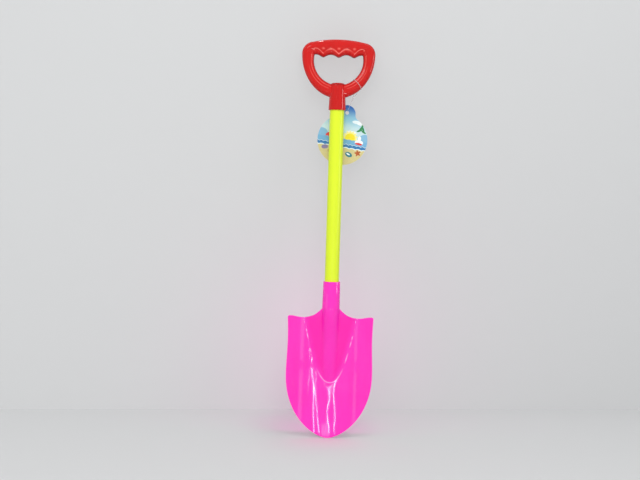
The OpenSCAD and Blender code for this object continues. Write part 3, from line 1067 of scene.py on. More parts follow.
@dataclass
class HangTag:
    """The card: a round body with a lobe, hung by a punched hole behind the socket's mouth."""

    line: ShaftLine
    body_r: float = 44.8 * MM
    lobe_r: float = 15.5 * MM
    fillet_r: float = 10 * MM
    drop: float = 49 * MM
    thickness: float = 0.6 * MM
    hole_d: float = 6.5 * MM
    hole_x: float = 18.4 * MM
    mid_y: float = 16.25 * MM
    below_mouth: float = 2.6 * MM
    lean: float = 8.3
    lobe_drop_share: float = 0.11
    edge_round: float = 0.08 * MM
    curl: float = 0.35 * MM
    arc_steps: int = 40
    rings: int = 28
    crease_angle: float = 30.0

    @property
    def hole(self) -> Array:
        """Place of the hole's centre, in the middle of the card."""
        return np.array([self.hole_x, self.mid_y, self.line.handle_z - self.below_mouth])

    def outline(self) -> Array:
        """The card's edge about its hole: the lobe, two fillets and the round body.

        Returns:
            One row of right, up per point, once round. Each fillet touches both circles: its
            centre is at its radius plus theirs from their centres.
        """
        lobe_z, body_z = -self.lobe_r * self.lobe_drop_share, -self.drop
        span = lobe_z - body_z
        to_lobe, to_body = self.lobe_r + self.fillet_r, self.body_r + self.fillet_r
        down = (to_lobe**2 - to_body**2 + span**2) / (2 * span)
        fx, fz = math.sqrt(to_lobe**2 - down**2), lobe_z - down
        lobe_a = math.degrees(math.atan2(fz - lobe_z, fx))
        body_a = math.degrees(math.atan2(fz - body_z, fx))
        n = self.arc_steps
        bend = np.linspace(lobe_a, body_a, n // 3 + 1)[1:-1]
        lobe = [0, lobe_z] + polar(self.lobe_r, np.linspace(lobe_a, 180 - lobe_a, n + 1))
        left = [-fx, fz] + polar(self.fillet_r, -bend)
        body = [0, body_z] + polar(self.body_r, np.linspace(180 - body_a, 360 + body_a, 4 * n + 1))
        right = [fx, fz] + polar(self.fillet_r, 180 + bend[::-1])
        return np.concatenate([lobe, left, body, right])

    def place_flat(self, flat: Array, depth: float) -> Array:
        """Carries points of the card's own plane to their place.

        Args:
            flat: One row of right, up per point, from the hole.
            depth: Distance in front of the card's middle.

        Returns:
            Rows of x, y, z: curled back by a parabola across, leant over and moved to the hole.
        """
        a = math.radians(self.lean)
        x = flat[:, 0] * math.cos(a) + flat[:, 1] * math.sin(a)
        z = flat[:, 1] * math.cos(a) - flat[:, 0] * math.sin(a)
        bend = self.curl * np.maximum(np.abs(flat[:, 0]) - self.hole_d, 0) ** 2 / self.body_r**2
        return self.hole + np.stack([x, bend - depth, z], -1)

    def sheet(self) -> bpy.types.Mesh:
        """The card as rings of points between its hole and its edge, on both sides.

        Returns:
            The mesh, with its own plane laid out in the UV map named card. Its faces name material
            0 in front, 1 behind and 2 on the cut edges.
        """
        edge = self.outline()
        turn = np.unwrap(np.arctan2(edge[:, 1], edge[:, 0]))
        hole = polar(self.hole_d / 2, np.degrees(turn))
        e, half = self.edge_round, self.thickness / 2
        share = np.linspace(0, 1, self.rings + 1)[:, None, None]
        flat = hole[None] * (1 - share) + edge[None] * share
        flat[0] *= (self.hole_d / 2 + e) / (self.hole_d / 2)
        along = unit(edge - np.roll(edge, 1, 0))
        outward = np.stack([along[:, 1], -along[:, 0]], -1)
        outward *= np.sign((outward * (edge - [0, -self.drop])).sum(1)).mean()
        flat[-1] -= outward * e
        rows = [(ring, half) for ring in flat]
        rows += [(edge, half - e), (edge, e - half)]
        rows += [(ring, -half) for ring in flat[::-1]]
        rows += [(hole, e - half), (hole, half - e)]
        points = np.concatenate([self.place_flat(ring, depth) for ring, depth in rows])
        own = np.concatenate([ring for ring, _ in rows])
        faces = quads(len(rows), len(edge), True, True)
        mesh = bpy.data.meshes.new("hang_tag")
        mesh.from_pydata(points.tolist(), [], faces.tolist())
        uv = mesh.uv_layers.new(name="card")
        corner = np.empty(len(mesh.loops), np.int32)
        mesh.loops.foreach_get("vertex_index", corner)
        uv.data.foreach_set("uv", self.card_uv(own[corner]).astype(np.float32).ravel())
        strip, n = np.arange(len(faces)) // len(edge), self.rings
        kind = np.select([strip < n, strip < n + 3, strip < 2 * n + 3], [0, 2, 1], 2)
        mesh.polygons.foreach_set("material_index", kind.astype(np.int32))
        mesh.update()
        return mesh

    def build(
        self, front: bpy.types.Material, back: bpy.types.Material, core: bpy.types.Material
    ) -> bpy.types.Object:
        """Makes the card and dresses it.

        Args:
            front: The printed side's material.
            back: The plain side's material.
            core: The cut edges' material.

        Returns:
            The finished card.
        """
        piece = loose_object("hang_tag", self.sheet())
        face_outwards(piece.data)
        keep_creases(piece, self.crease_angle)
        return place(piece, Body.TAG, Slot.CARD, "hang_tag", [front, back, core])

    def card_uv(self, own: Array) -> Array:
        """The card's own plane on its square, with the hole near the top."""
        return own / (CARD_SQUARE * MM) + CARD_HOLE


@dataclass
class TagLoop:
    """The clear loop: round the grip's ring, down behind it and through the tag's hole."""

    line: ShaftLine
    grip: Handle
    tag: HangTag
    thickness: float = 0.9 * MM
    angle: float = 50.0
    gap: float = 0.35 * MM
    wrap_from: float = 20.0
    wrap_to: float = -235.0
    hole_lead_share: float = 0.36
    ring_lead_share: float = 0.22
    bow: float = 1.3 * MM
    wrap_steps: int = 96
    strand_steps: int = 48
    bight_steps: int = 20
    sides: int = 16

    def ring_crossing(self) -> tuple[Array, float, Array]:
        """Where the loop goes round the grip's ring.

        Returns:
            The centre of its arc, the arc's radius, and the direction out across the ring, with
            the far side found where a line from the opening's centre meets the outline's oval.
        """
        grip, out = self.grip, polar(1, np.array(-self.angle))
        cz = grip.corner_centre()[1]
        tall = cz - (self.line.opening_z - grip.opening_r - grip.ring_foot_w)
        wide, rise = grip.grip_w / 2, cz - self.line.opening_z
        a = (out[0] / wide) ** 2 + (out[1] / tall) ** 2
        b = out[1] * rise / tall**2
        c = (rise / tall) ** 2 - 1
        far = (b + math.sqrt(b * b - a * c)) / a
        mid = (grip.opening_r + far) / 2
        centre = np.array([mid * out[0], 0, self.line.opening_z + mid * out[1]])
        reach = max((far - grip.opening_r) / 2, grip.ring_depth / 2) + self.gap + self.thickness / 2
        return centre, reach, out

    def path(self) -> Array:
        """The loop's centre line: an arc round the ring, a strand, a turn in the hole, a strand.

        Returns:
            One row of x, y, z per station. The strands are cubic curves that leave the arc and the
            turn along their own directions.
        """
        centre, reach, out = self.ring_crossing()
        r = self.thickness / 2
        hole = self.tag.hole
        strand = np.array([centre[0] - hole[0], 0, centre[2] - hole[2]])
        length, up = np.linalg.norm(strand), unit(strand)
        turn_r = self.tag.thickness / 2 + self.gap + r
        low = hole + up * (self.tag.hole_d / 2 - self.gap - r)

        def round_ring(degrees: Array) -> Array:
            """Points of the arc round the ring, bowed aside where it passes in front.

            Args:
                degrees: How far round each point is.

            Returns:
                An array of points.
            """
            a = np.radians(np.atleast_1d(degrees))[:, None]
            in_front = np.maximum(-np.sin(a), 0)
            aside = self.bow * in_front**2 * np.array([[-out[1], 0, out[0]]])
            flat = np.array([out[0], 0, out[1]]) * np.cos(a) + np.array([[0, 1, 0]]) * np.sin(a)
            return centre + reach * flat + aside

        def heading(degrees: float) -> Array:
            """Direction of the arc round the ring."""
            a = math.radians(degrees)
            return np.array([out[0] * math.sin(a), -math.cos(a), out[1] * math.sin(a)])

        def turn(degrees: Array) -> Array:
            """Points of the half circle through the hole."""
            a = np.radians(np.atleast_1d(degrees))[:, None]
            return low + up * turn_r * (1 - np.sin(a)) + np.array([[0, 1, 0]]) * turn_r * np.cos(a)

        def curve(a: Array, b: Array, c: Array, d: Array) -> Array:
            """A cubic curve from a to d, pulled towards b and c, without its ends."""
            t = np.linspace(0, 1, self.strand_steps + 1)[1:-1, None]
            return a * (1 - t) ** 3 + b * 3 * (1 - t) ** 2 * t + c * 3 * (1 - t) * t**2 + d * t**3

        first, last = round_ring(self.wrap_from)[0], round_ring(self.wrap_to)[0]
        behind, ahead = turn(0)[0], turn(180)[0]
        ring_lead, hole_lead = length * self.ring_lead_share, up * length * self.hole_lead_share
        return np.concatenate([
            round_ring(np.linspace(self.wrap_from, self.wrap_to, self.wrap_steps + 1)),
            curve(last, last + heading(self.wrap_to) * ring_lead, behind + hole_lead, behind),
            turn(np.linspace(0, 180, self.bight_steps + 1)),
            curve(ahead, ahead + hole_lead, first - heading(self.wrap_from) * ring_lead, first),
        ])

    def build(self, material: bpy.types.Material) -> bpy.types.Object:
        """Sweeps the nylon along its path and dresses it.

        Args:
            material: The nylon's material.

        Returns:
            The finished loop.
        """
        path, out = self.path(), self.ring_crossing()[2]
        tube = sweep(path, np.array([-out[1], 0, out[0]]), self.thickness / 2, self.sides)
        mesh = make_mesh("tag_loop", tube.reshape(-1, 3), quads(len(path), self.sides, True, True))
        return place(loose_object("tag_loop", mesh), Body.LOOP, Slot.NYLON, "tag_loop", [material])


class Graph:
    """Short calls that add nodes and links to one node tree."""

    def __init__(self, tree: bpy.types.NodeTree) -> None:
        """Works on a tree that is emptied first."""
        self.tree = tree
        tree.nodes.clear()

    def add(
        self, kind: str, inputs: dict[str | int, Value] | None = None, **settings: object
    ) -> bpy.types.Node:
        """Adds a node.

        Args:
            kind: The node's type.
            inputs: Values or sockets that feed its inputs.
            **settings: The node's own settings.

        Returns:
            The node.
        """
        node = self.tree.nodes.new(kind)
        for name, value in settings.items():
            setattr(node, name, value)
        for key, value in (inputs or {}).items():
            self.feed(node.inputs[key], value)
        return node

    def feed(self, socket: Socket, value: Value) -> None:
        """Links a socket to an input, or writes a value into it.

        Args:
            socket: The input.
            value: A socket that feeds it, or its value.
        """
        if isinstance(value, bpy.types.NodeSocket):
            self.tree.links.new(value, socket)
        else:
            socket.default_value = value

    def math(self, how: str, *values: Value, clamp: bool = False) -> Socket:
        """The result of a Math node."""
        inputs = dict(enumerate(values))
        return self.add("ShaderNodeMath", inputs, operation=how, use_clamp=clamp).outputs[0]

    def vector(self, how: str, *values: Value) -> Socket:
        """The result of a Vector Math node."""
        node = self.add("ShaderNodeVectorMath", dict(enumerate(values)), operation=how)
        return node.outputs["Value" if how == "LENGTH" else "Vector"]

    def blend(self, amount: Value, low: Value, high: Value) -> Socket:
        """A colour between two, by an amount from 0 to 1."""
        node = self.add("ShaderNodeMix", {0: amount, 6: low, 7: high}, data_type="RGBA")
        return node.outputs[2]

    def noise(self, at: Socket, scale: Value, detail: float = 2, roughness: float = 0.5) -> Socket:
        """Noise from 0 to 1 at a place."""
        inputs = {"Vector": at, "Scale": scale, "Detail": detail, "Roughness": roughness}
        return self.add("ShaderNodeTexNoise", inputs).outputs[0]

    def bump(self, height: Socket, distance: float, strength: float = 1.0) -> Socket:
        """Normals of a surface raised by a height from 0 to 1 over a distance."""
        inputs = {"Height": height, "Distance": distance, "Strength": strength}
        return self.add("ShaderNodeBump", inputs).outputs[0]

    def ramp(self, value: Value, low: float, high: float) -> Socket:
        """A smooth step from 0 at low to 1 at high."""
        inputs = {"Value": value, "From Min": low, "From Max": high}
        return self.add("ShaderNodeMapRange", inputs, interpolation_type="SMOOTHSTEP").outputs[0]


class Port(Enum):
    """Kinds of socket that a shared effect offers."""

    NUMBER = "NodeSocketFloat"
    PLACE = "NodeSocketVector"


class Effect:
    """A shader node group that several finishes use."""

    def __init__(self, name: str, inputs: dict[str, Port], outputs: Sequence[str]) -> None:
        """Makes the group with its named inputs and outputs.

        Args:
            name: The group's name.
            inputs: The kind of each input, by its name.
            outputs: Names of its outputs, which are numbers.
        """
        self.group = bpy.data.node_groups.new(name, "ShaderNodeTree")
        sockets = self.group.interface
        for label, port in inputs.items():
            sockets.new_socket(name=label, in_out="INPUT", socket_type=port.value)
        for label in outputs:
            sockets.new_socket(name=label, in_out="OUTPUT", socket_type=Port.NUMBER.value)
        self.graph = Graph(self.group)
        self.inputs = self.graph.add("NodeGroupInput").outputs
        self.outputs = self.graph.add("NodeGroupOutput").inputs

    def give(self, label: str, value: Value) -> None:
        """Feeds one of the group's outputs."""
        self.graph.feed(self.outputs[label], value)

    def use(self, graph: Graph, **inputs: Value) -> bpy.types.bpy_prop_collection:
        """Places the group in a material.

        Args:
            graph: The material's tree.
            **inputs: Values or sockets by input name, with _ for a space.

        Returns:
            The placed group's outputs.
        """
        node = graph.add("ShaderNodeGroup", node_tree=self.group)
        for label, value in inputs.items():
            graph.feed(node.inputs[label.replace("_", " ")], value)
        return node.outputs


class Effects:
    """The shared effects, each built once."""

    GRAIN_SHARE = 0.22
    PEEL_SCALE = 170.0
    FLOW_STRETCH = (34.0, 20.0, 7.0)
    FLOW_SCALE = 1.3
    FLOW_RANGE = (0.32, 0.68)
    SCRATCHES = (
        ((0.0, 0.5, 0.15), (900.0, 900.0, 26.0)),
        ((0.2, -0.9, 0.4), (760.0, 760.0, 19.0)),
    )
    SCRATCH_RANGE = (0.69, 0.78)
    PATCH_SCALE = 24.0
    PATCH_RANGE = (0.42, 0.62)
    # Noise that breaks up the painted highlights and lighter edges.
    EDGE_BREAK_SCALE = 260.0
    EDGE_BREAK_RANGE = (0.25, 0.6)
    EDGE_BREAK_LEAST = 0.6
    PRINT_SHARPNESS = 4.0

    def __init__(self) -> None:
        """Builds every group."""
        self.skin = self.make_skin()
        self.hairlines = self.make_hairlines()
        self.highlight_and_rim = self.make_highlight_and_rim()
        self.disc = self.make_disc()
        self.waves = self.make_waves()
        self.star = self.make_star()

    def make_skin(self) -> Effect:
        """Moulded skin: a height of fine grain and slow waves, and a mask of flow marks.

        Returns:
            The effect, with the outputs Height and Flow.
        """
        inputs = {"At": Port.PLACE, "Grain Scale": Port.NUMBER}
        effect = Effect("moulded skin", inputs, ["Height", "Flow"])
        g, at = effect.graph, effect.inputs["At"]
        grain = g.noise(at, effect.inputs["Grain Scale"], 3, 0.6)
        peel = g.noise(at, self.PEEL_SCALE, 1, 0.4)
        fine = g.math("MULTIPLY", grain, self.GRAIN_SHARE)
        effect.give("Height", g.math("MULTIPLY_ADD", peel, 1 - self.GRAIN_SHARE, fine))
        bend = g.noise(g.vector("MULTIPLY", at, self.FLOW_STRETCH), self.FLOW_SCALE, 4, 0.55)
        effect.give("Flow", g.ramp(bend, *self.FLOW_RANGE))
        return effect

    def make_hairlines(self) -> Effect:
        """Faint handling scratches: two crossed sets of long thin noise, cut off high.

        Returns:
            The effect, with the output Mask.
        """
        effect = Effect("hairlines", {"At": Port.PLACE, "Amount": Port.NUMBER}, ["Mask"])
        g, at = effect.graph, effect.inputs["At"]
        sets = []
        for turn, stretch in self.SCRATCHES:
            inputs = {"Vector": at, "Rotation": turn}
            crossed = g.add("ShaderNodeVectorRotate", inputs, rotation_type="EULER_XYZ")
            lines = g.noise(g.vector("MULTIPLY", crossed.outputs[0], stretch), 1.0, 1, 0.4)
            sets.append(g.ramp(lines, *self.SCRATCH_RANGE))
        patches = g.ramp(g.noise(at, self.PATCH_SCALE), *self.PATCH_RANGE)
        both = g.math("MULTIPLY", g.math("MAXIMUM", *sets), patches)
        effect.give("Mask", g.math("MULTIPLY", both, effect.inputs["Amount"]))
        return effect

    def make_highlight_and_rim(self) -> Effect:
        """Painted highlights and lighter edges: an edge mask broken up by noise.

        Returns:
            The effect, with the output Mask.
        """
        inputs = {"At": Port.PLACE, "Edge": Port.NUMBER, "Amount": Port.NUMBER}
        effect = Effect("edge wear", inputs, ["Mask"])
        g = effect.graph
        broken = g.ramp(g.noise(effect.inputs["At"], self.EDGE_BREAK_SCALE, 3, 0.6), *self.EDGE_BREAK_RANGE)
        cover = g.math("MULTIPLY_ADD", broken, 1 - self.EDGE_BREAK_LEAST, self.EDGE_BREAK_LEAST)
        cover = g.math("MULTIPLY", effect.inputs["Edge"], cover)
        effect.give("Mask", g.math("MULTIPLY", cover, effect.inputs["Amount"]))
        return effect

    def inked(self, g: Graph, inside: Value) -> Socket:
        """Cover of an ink by how far inside its edge a place is: the edge is soft over 1/4 mm."""
        return g.math("MULTIPLY_ADD", inside, self.PRINT_SHARPNESS, 0.5, clamp=True)

    def make_disc(self) -> Effect:
        """A printed oval: full where the turned and scaled distance from its centre is under 1.

        Returns:
            The effect, with the output Mask. Its places and radii are in millimetres.
        """
        inputs = {"At": Port.PLACE, "Centre": Port.PLACE, "Radii": Port.PLACE, "Turn": Port.NUMBER}
        effect = Effect("printed oval", inputs, ["Mask"])
        g, got = effect.graph, effect.inputs
        away = g.vector("SUBTRACT", got["At"], got["Centre"])
        inputs = {"Vector": away, "Angle": got["Turn"]}
        level = g.add("ShaderNodeVectorRotate", inputs, rotation_type="Z_AXIS").outputs[0]
        share = g.vector("LENGTH", g.vector("DIVIDE", level, got["Radii"]))
        wide = g.add("ShaderNodeSeparateXYZ", {0: got["Radii"]}).outputs[0]
        inside = g.math("MULTIPLY", g.math("SUBTRACT", 1.0, share), wide)
        effect.give("Mask", self.inked(g, inside))
        return effect

    def make_waves(self) -> Effect:
        """Below a scalloped line: height + swell |sin(x pi / length + phase)|, in millimetres.

        Returns:
            The effect, with the output Mask.
        """
        inputs = {"At": Port.PLACE, "Height": Port.NUMBER, "Swell": Port.NUMBER}
        inputs |= {"Length": Port.NUMBER, "Phase": Port.NUMBER}
        effect = Effect("printed waves", inputs, ["Mask"])
        g, got = effect.graph, effect.inputs
        place = g.add("ShaderNodeSeparateXYZ", {0: got["At"]}).outputs
        around = g.math("DIVIDE", g.math("MULTIPLY", place[0], math.pi), got["Length"])
        scallop = g.math("ABSOLUTE", g.math("SINE", g.math("ADD", around, got["Phase"])))
        line = g.math("MULTIPLY_ADD", scallop, got["Swell"], got["Height"])
        effect.give("Mask", self.inked(g, g.math("SUBTRACT", line, place[1])))
        return effect

    def make_star(self) -> Effect:
        """A printed star: full where the distance is under radius (1 + depth cos(points angle)).

        Returns:
            The effect, with the output Mask. Its places and radius are in millimetres.
        """
        inputs = {"At": Port.PLACE, "Centre": Port.PLACE, "Radius": Port.NUMBER}
        inputs |= {"Points": Port.NUMBER, "Depth": Port.NUMBER, "Turn": Port.NUMBER}
        effect = Effect("printed star", inputs, ["Mask"])
        g, got = effect.graph, effect.inputs
        away = g.vector("SUBTRACT", got["At"], got["Centre"])
        place = g.add("ShaderNodeSeparateXYZ", {0: away}).outputs
        angle = g.math("ADD", g.math("ARCTAN2", place[1], place[0]), got["Turn"])
        rays = g.math("COSINE", g.math("MULTIPLY", angle, got["Points"]))
        reach = g.math("MULTIPLY", g.math("MULTIPLY_ADD", rays, got["Depth"], 1.0), got["Radius"])
        inside = g.math("SUBTRACT", reach, g.vector("LENGTH", away))
        effect.give("Mask", self.inked(g, inside))
        return effect


def full(colour: Colour) -> tuple[float, float, float, float]:
    """A colour with full cover."""
    return (*colour, 1.0)


def new_material(name: str) -> tuple[bpy.types.Material, Graph]:
    """An empty node material and its tree.

    Args:
        name: The material's name.

    Returns:
        The material, and the graph of its nodes.
    """
    material = bpy.data.materials.new(name)
    material.use_nodes = True
    return material, Graph(material.node_tree)


def finish_surface(g: Graph, shader: bpy.types.Node) -> None:
    """Joins a shader to the material's output."""
    g.tree.links.new(shader.outputs[0], g.add("ShaderNodeOutputMaterial").inputs["Surface"])


@dataclass(frozen=True)
class MouldedPlastic:
    """Glossy injection-moulded plastic with flow marks, fine grain, light handling, painted highlights
    and painted shade.
    """

    name: str
    colour: Colour
    deep: Colour
    # Colour of the painted highlights and of a lighter rim.
    edge: Colour
    roughness: float = 0.16
    skin_depth: float = 0.012 * MM
    grain_scale: float = 2600.0
    flow: float = 0.35
    hairlines: float = 0.5
    highlight_and_rim: float = 0.5
    specular: float = 0.5
    # Colour of the painted shade; without one, the deep colour is used.
    painted_shade: Colour | None = None
    painted_shade_cover: float = 0.95
    sway: float = 0.0
    sway_stretch: Stretch = (30.0, 30.0, 22.0)
    patch_scale: float = 38.0
    patch_range: Range = (0.3, 0.7)
    patch_rough: float = 0.02
    scratch_rough: float = 0.22
    scratch_depth: float = 0.2
    ior: float = 1.49

    def build(self, effects: Effects) -> bpy.types.Material:
        """Makes the material.

        One mesh attribute marks a lighter rim and painted highlights, which take the edge colour;
        another marks painted shade, which takes the darker colour.

        Args:
            effects: The shared effects.

        Returns:
            The material, whose bump has the skin's grain on slow waves of depth sway.
        """
        material, g = new_material(self.name)
        at = g.add("ShaderNodeTexCoord").outputs["Object"]
        skin = effects.skin.use(g, At=at, Grain_Scale=self.grain_scale)
        lines = effects.hairlines.use(g, At=at, Amount=self.hairlines)["Mask"]
        # Edge marks: painted highlights and a lighter rim, broken up by noise.
        marked = g.add("ShaderNodeAttribute", attribute_name="painted_highlight_and_rim").outputs["Fac"]
        highlight_and_rim_cover = effects.highlight_and_rim.use(g, At=at, Edge=marked, Amount=self.highlight_and_rim)["Mask"]
        painted_shade = g.add("ShaderNodeAttribute", attribute_name="painted_shade_mask").outputs["Fac"]
        flow = g.math("MULTIPLY", skin["Flow"], self.flow)
        colour = g.blend(flow, full(self.colour), full(self.deep))
        # Painted shade where the mesh marks it.
        deeper = g.math("MULTIPLY", painted_shade, self.painted_shade_cover)
        colour = g.blend(deeper, colour, full(self.painted_shade or self.deep))
        colour = g.blend(highlight_and_rim_cover, colour, full(self.edge))
        patchy = g.ramp(g.noise(at, self.patch_scale, 3), *self.patch_range)
        rough = g.math("MULTIPLY_ADD", patchy, self.patch_rough, self.roughness)
        rough = g.math("MULTIPLY_ADD", lines, self.scratch_rough, rough)
        height = g.math("SUBTRACT", skin["Height"], g.math("MULTIPLY", lines, self.scratch_depth))
        slow = g.noise(g.vector("MULTIPLY", at, self.sway_stretch), 1.0, 2, 0.4)
        height = g.math("MULTIPLY_ADD", slow, self.sway / self.skin_depth, height)
        inputs = {"Base Color": colour, "Roughness": rough, "IOR": self.ior}
        inputs["Normal"] = g.bump(height, self.skin_depth)
        inputs["Specular IOR Level"] = self.specular
        finish_surface(g, g.add("ShaderNodeBsdfPrincipled", inputs))
        return material


@dataclass(frozen=True)
class ExtrudedPlastic:
    """Satin extruded tube with faint lines along its length."""

    name: str
    colour: Colour
    deep: Colour
    roughness: float = 0.3
    line_depth: float = 0.02 * MM
    hairlines: float = 0.6
    fine_stretch: Stretch = (1100.0, 1100.0, 3.0)
    fine_share: float = 0.25
    broad_stretch: Stretch = (150.0, 150.0, 2.0)
    broad_share: float = 0.35
    grain_scale: float = 1900.0
    fine_rough: float = 0.08
    scratch_rough: float = 0.2
    scratch_depth: float = 0.25
    ior: float = 1.47

    def build(self, effects: Effects) -> bpy.types.Material:
        """Makes the material, with lines that run along Z.

        Args:
            effects: The shared effects.

        Returns:
            The material, whose bump is half drawn lines and half skin.
        """
        material, g = new_material(self.name)
        at = g.add("ShaderNodeTexCoord").outputs["Object"]
        drawn = g.noise(g.vector("MULTIPLY", at, self.fine_stretch), 1.0, 3, 0.6)
        broad = g.noise(g.vector("MULTIPLY", at, self.broad_stretch), 1.0, 2)
        lines = effects.hairlines.use(g, At=at, Amount=self.hairlines)["Mask"]
        skin = effects.skin.use(g, At=at, Grain_Scale=self.grain_scale)
        fine = g.math("MULTIPLY", drawn, self.fine_share)
        shade = g.math("MULTIPLY", g.math("MULTIPLY_ADD", broad, self.broad_share, fine), skin["Flow"])
        rough = g.math("MULTIPLY_ADD", drawn, self.fine_rough, self.roughness)
        rough = g.math("MULTIPLY_ADD", lines, self.scratch_rough, rough)
        height = g.math("MULTIPLY_ADD", drawn, 0.5, g.math("MULTIPLY", skin["Height"], 0.5))
        height = g.math("SUBTRACT", height, g.math("MULTIPLY", lines, self.scratch_depth))
        inputs = {"Roughness": rough, "IOR": self.ior}
        inputs["Base Color"] = g.blend(shade, full(self.colour), full(self.deep))
        inputs["Normal"] = g.bump(height, self.line_depth)
        finish_surface(g, g.add("ShaderNodeBsdfPrincipled", inputs))
        return material


@dataclass(frozen=True)
class ClearNylon:
    """Clear moulded nylon, slightly milky."""

    name: str = "clear_nylon"
    tint: Colour = (0.96, 0.97, 0.98)
    cloud: Colour = (0.84, 0.87, 0.9)
    grain_scale: float = 3200.0
    ripple: float = 0.02 * MM
    ripple_strength: float = 0.6
    roughness: float = 0.18
    ior: float = 1.53
    clearness: float = 0.45
    cover: float = 0.55

    def build(self, effects: Effects) -> bpy.types.Material:
        """Makes the material; its skin is slightly rippled.

        Args:
            effects: The shared effects.

        Returns:
            The material, which lets light through both as glass does and as a thin veil does.
        """
        material, g = new_material(self.name)
        at = g.add("ShaderNodeTexCoord").outputs["Object"]
        skin = effects.skin.use(g, At=at, Grain_Scale=self.grain_scale)
        inputs = {"Roughness": self.roughness, "IOR": self.ior}
        inputs |= {"Transmission Weight": self.clearness, "Alpha": self.cover}
        inputs["Base Color"] = g.blend(skin["Flow"], full(self.tint), full(self.cloud))
        inputs["Normal"] = g.bump(skin["Height"], self.ripple, self.ripple_strength)
        finish_surface(g, g.add("ShaderNodeBsdfPrincipled", inputs))
        return material


@dataclass(frozen=True)
class CardStock:
    """Uncoated card: the tag's back or its cut edges, with fibres, flecks and soft clouds."""

    name: str
    colour: Colour
    fibre: Colour
    roughness: float = 0.7
    fibre_scales: tuple[float, float] = (2600.0, 500.0)
    fibre_range: Range = (0.5, 0.75)
    fibre_share: float = 0.4
    fleck_scale: float = 900.0
    fleck_range: Range = (0.72, 0.8)
    fleck_share: float = 0.6
    cloud_scale: float = 70.0
    cloud_range: Range = (0.35, 0.65)
    cloud_share: float = 0.4
    fibre_depth: float = 0.02 * MM
    fibre_strength: float = 0.5

    def build(self) -> bpy.types.Material:
        """Makes the material, with fibres as stretched noise in two directions.

        Returns:
            The material.
        """
        material, g = new_material(self.name)
        at = g.add("ShaderNodeTexCoord").outputs["Object"]
        thin, long = self.fibre_scales
        along = g.noise(g.vector("MULTIPLY", at, (thin, thin, long)), 1.0, 3, 0.6)
        across = g.noise(g.vector("MULTIPLY", at, (long, thin, thin)), 1.0, 3, 0.6)
        fibres = g.math("MAXIMUM", *(g.ramp(way, *self.fibre_range) for way in (along, across)))
        flecks = g.ramp(g.noise(at, self.fleck_scale, 1), *self.fleck_range)
        clouds = g.ramp(g.noise(at, self.cloud_scale, 4), *self.cloud_range)
        shade = g.math("MULTIPLY", flecks, self.fleck_share)
        shade = g.math("MULTIPLY_ADD", clouds, self.cloud_share, shade)
        shade = g.math("MULTIPLY_ADD", fibres, self.fibre_share, shade, clamp=True)
        inputs = {"Roughness": self.roughness}
        inputs["Base Color"] = g.blend(shade, full(self.colour), full(self.fibre))
        inputs["Normal"] = g.bump(fibres, self.fibre_depth, self.fibre_strength)
        finish_surface(g, g.add("ShaderNodeBsdfPrincipled", inputs))
        return material


@dataclass
class PrintSheet:
    """A printed face on which inks are laid over each other, in mm from the card's hole."""

    g: Graph
    effects: Effects
    at: Socket
    colour: Socket

    def oval(self, x: float, y: float, wide: float, tall: float, turn: float = 0.0) -> Socket:
        """Cover of an oval with these half sizes about a point, turned by radians."""
        inputs = {"Centre": (x, y, 0.0), "Radii": (wide, tall, 1.0), "Turn": turn}
        return self.effects.disc.use(self.g, At=self.at, **inputs)["Mask"]

    def waves(self, height: float, swell: float, length: float, phase: float) -> Socket:
        """Cover of all that lies under a scalloped line at a height."""
        inputs = {"Height": height, "Swell": swell, "Length": length, "Phase": phase}
        return self.effects.waves.use(self.g, At=self.at, **inputs)["Mask"]

    def star(self, x: float, y: float, radius: float, **shape: float) -> Socket:
        """Cover of a star about a point, with the Points, Depth and Turn of its rays."""
        inputs = {"Centre": (x, y, 0.0), "Radius": radius, **shape}
        return self.effects.star.use(self.g, At=self.at, **inputs)["Mask"]

    def lay(self, cover: Socket, ink: Colour | Socket) -> None:
        """Lays an ink over what is there."""
        ink = ink if isinstance(ink, bpy.types.NodeSocket) else full(ink)
        self.colour = self.g.blend(cover, self.colour, ink)

    def lay_thin(self, cover: Socket, ink: Colour, share: float) -> None:
        """Lays an ink that lets some of what is there show through."""
        self.lay(self.g.math("MULTIPLY", cover, share), ink)


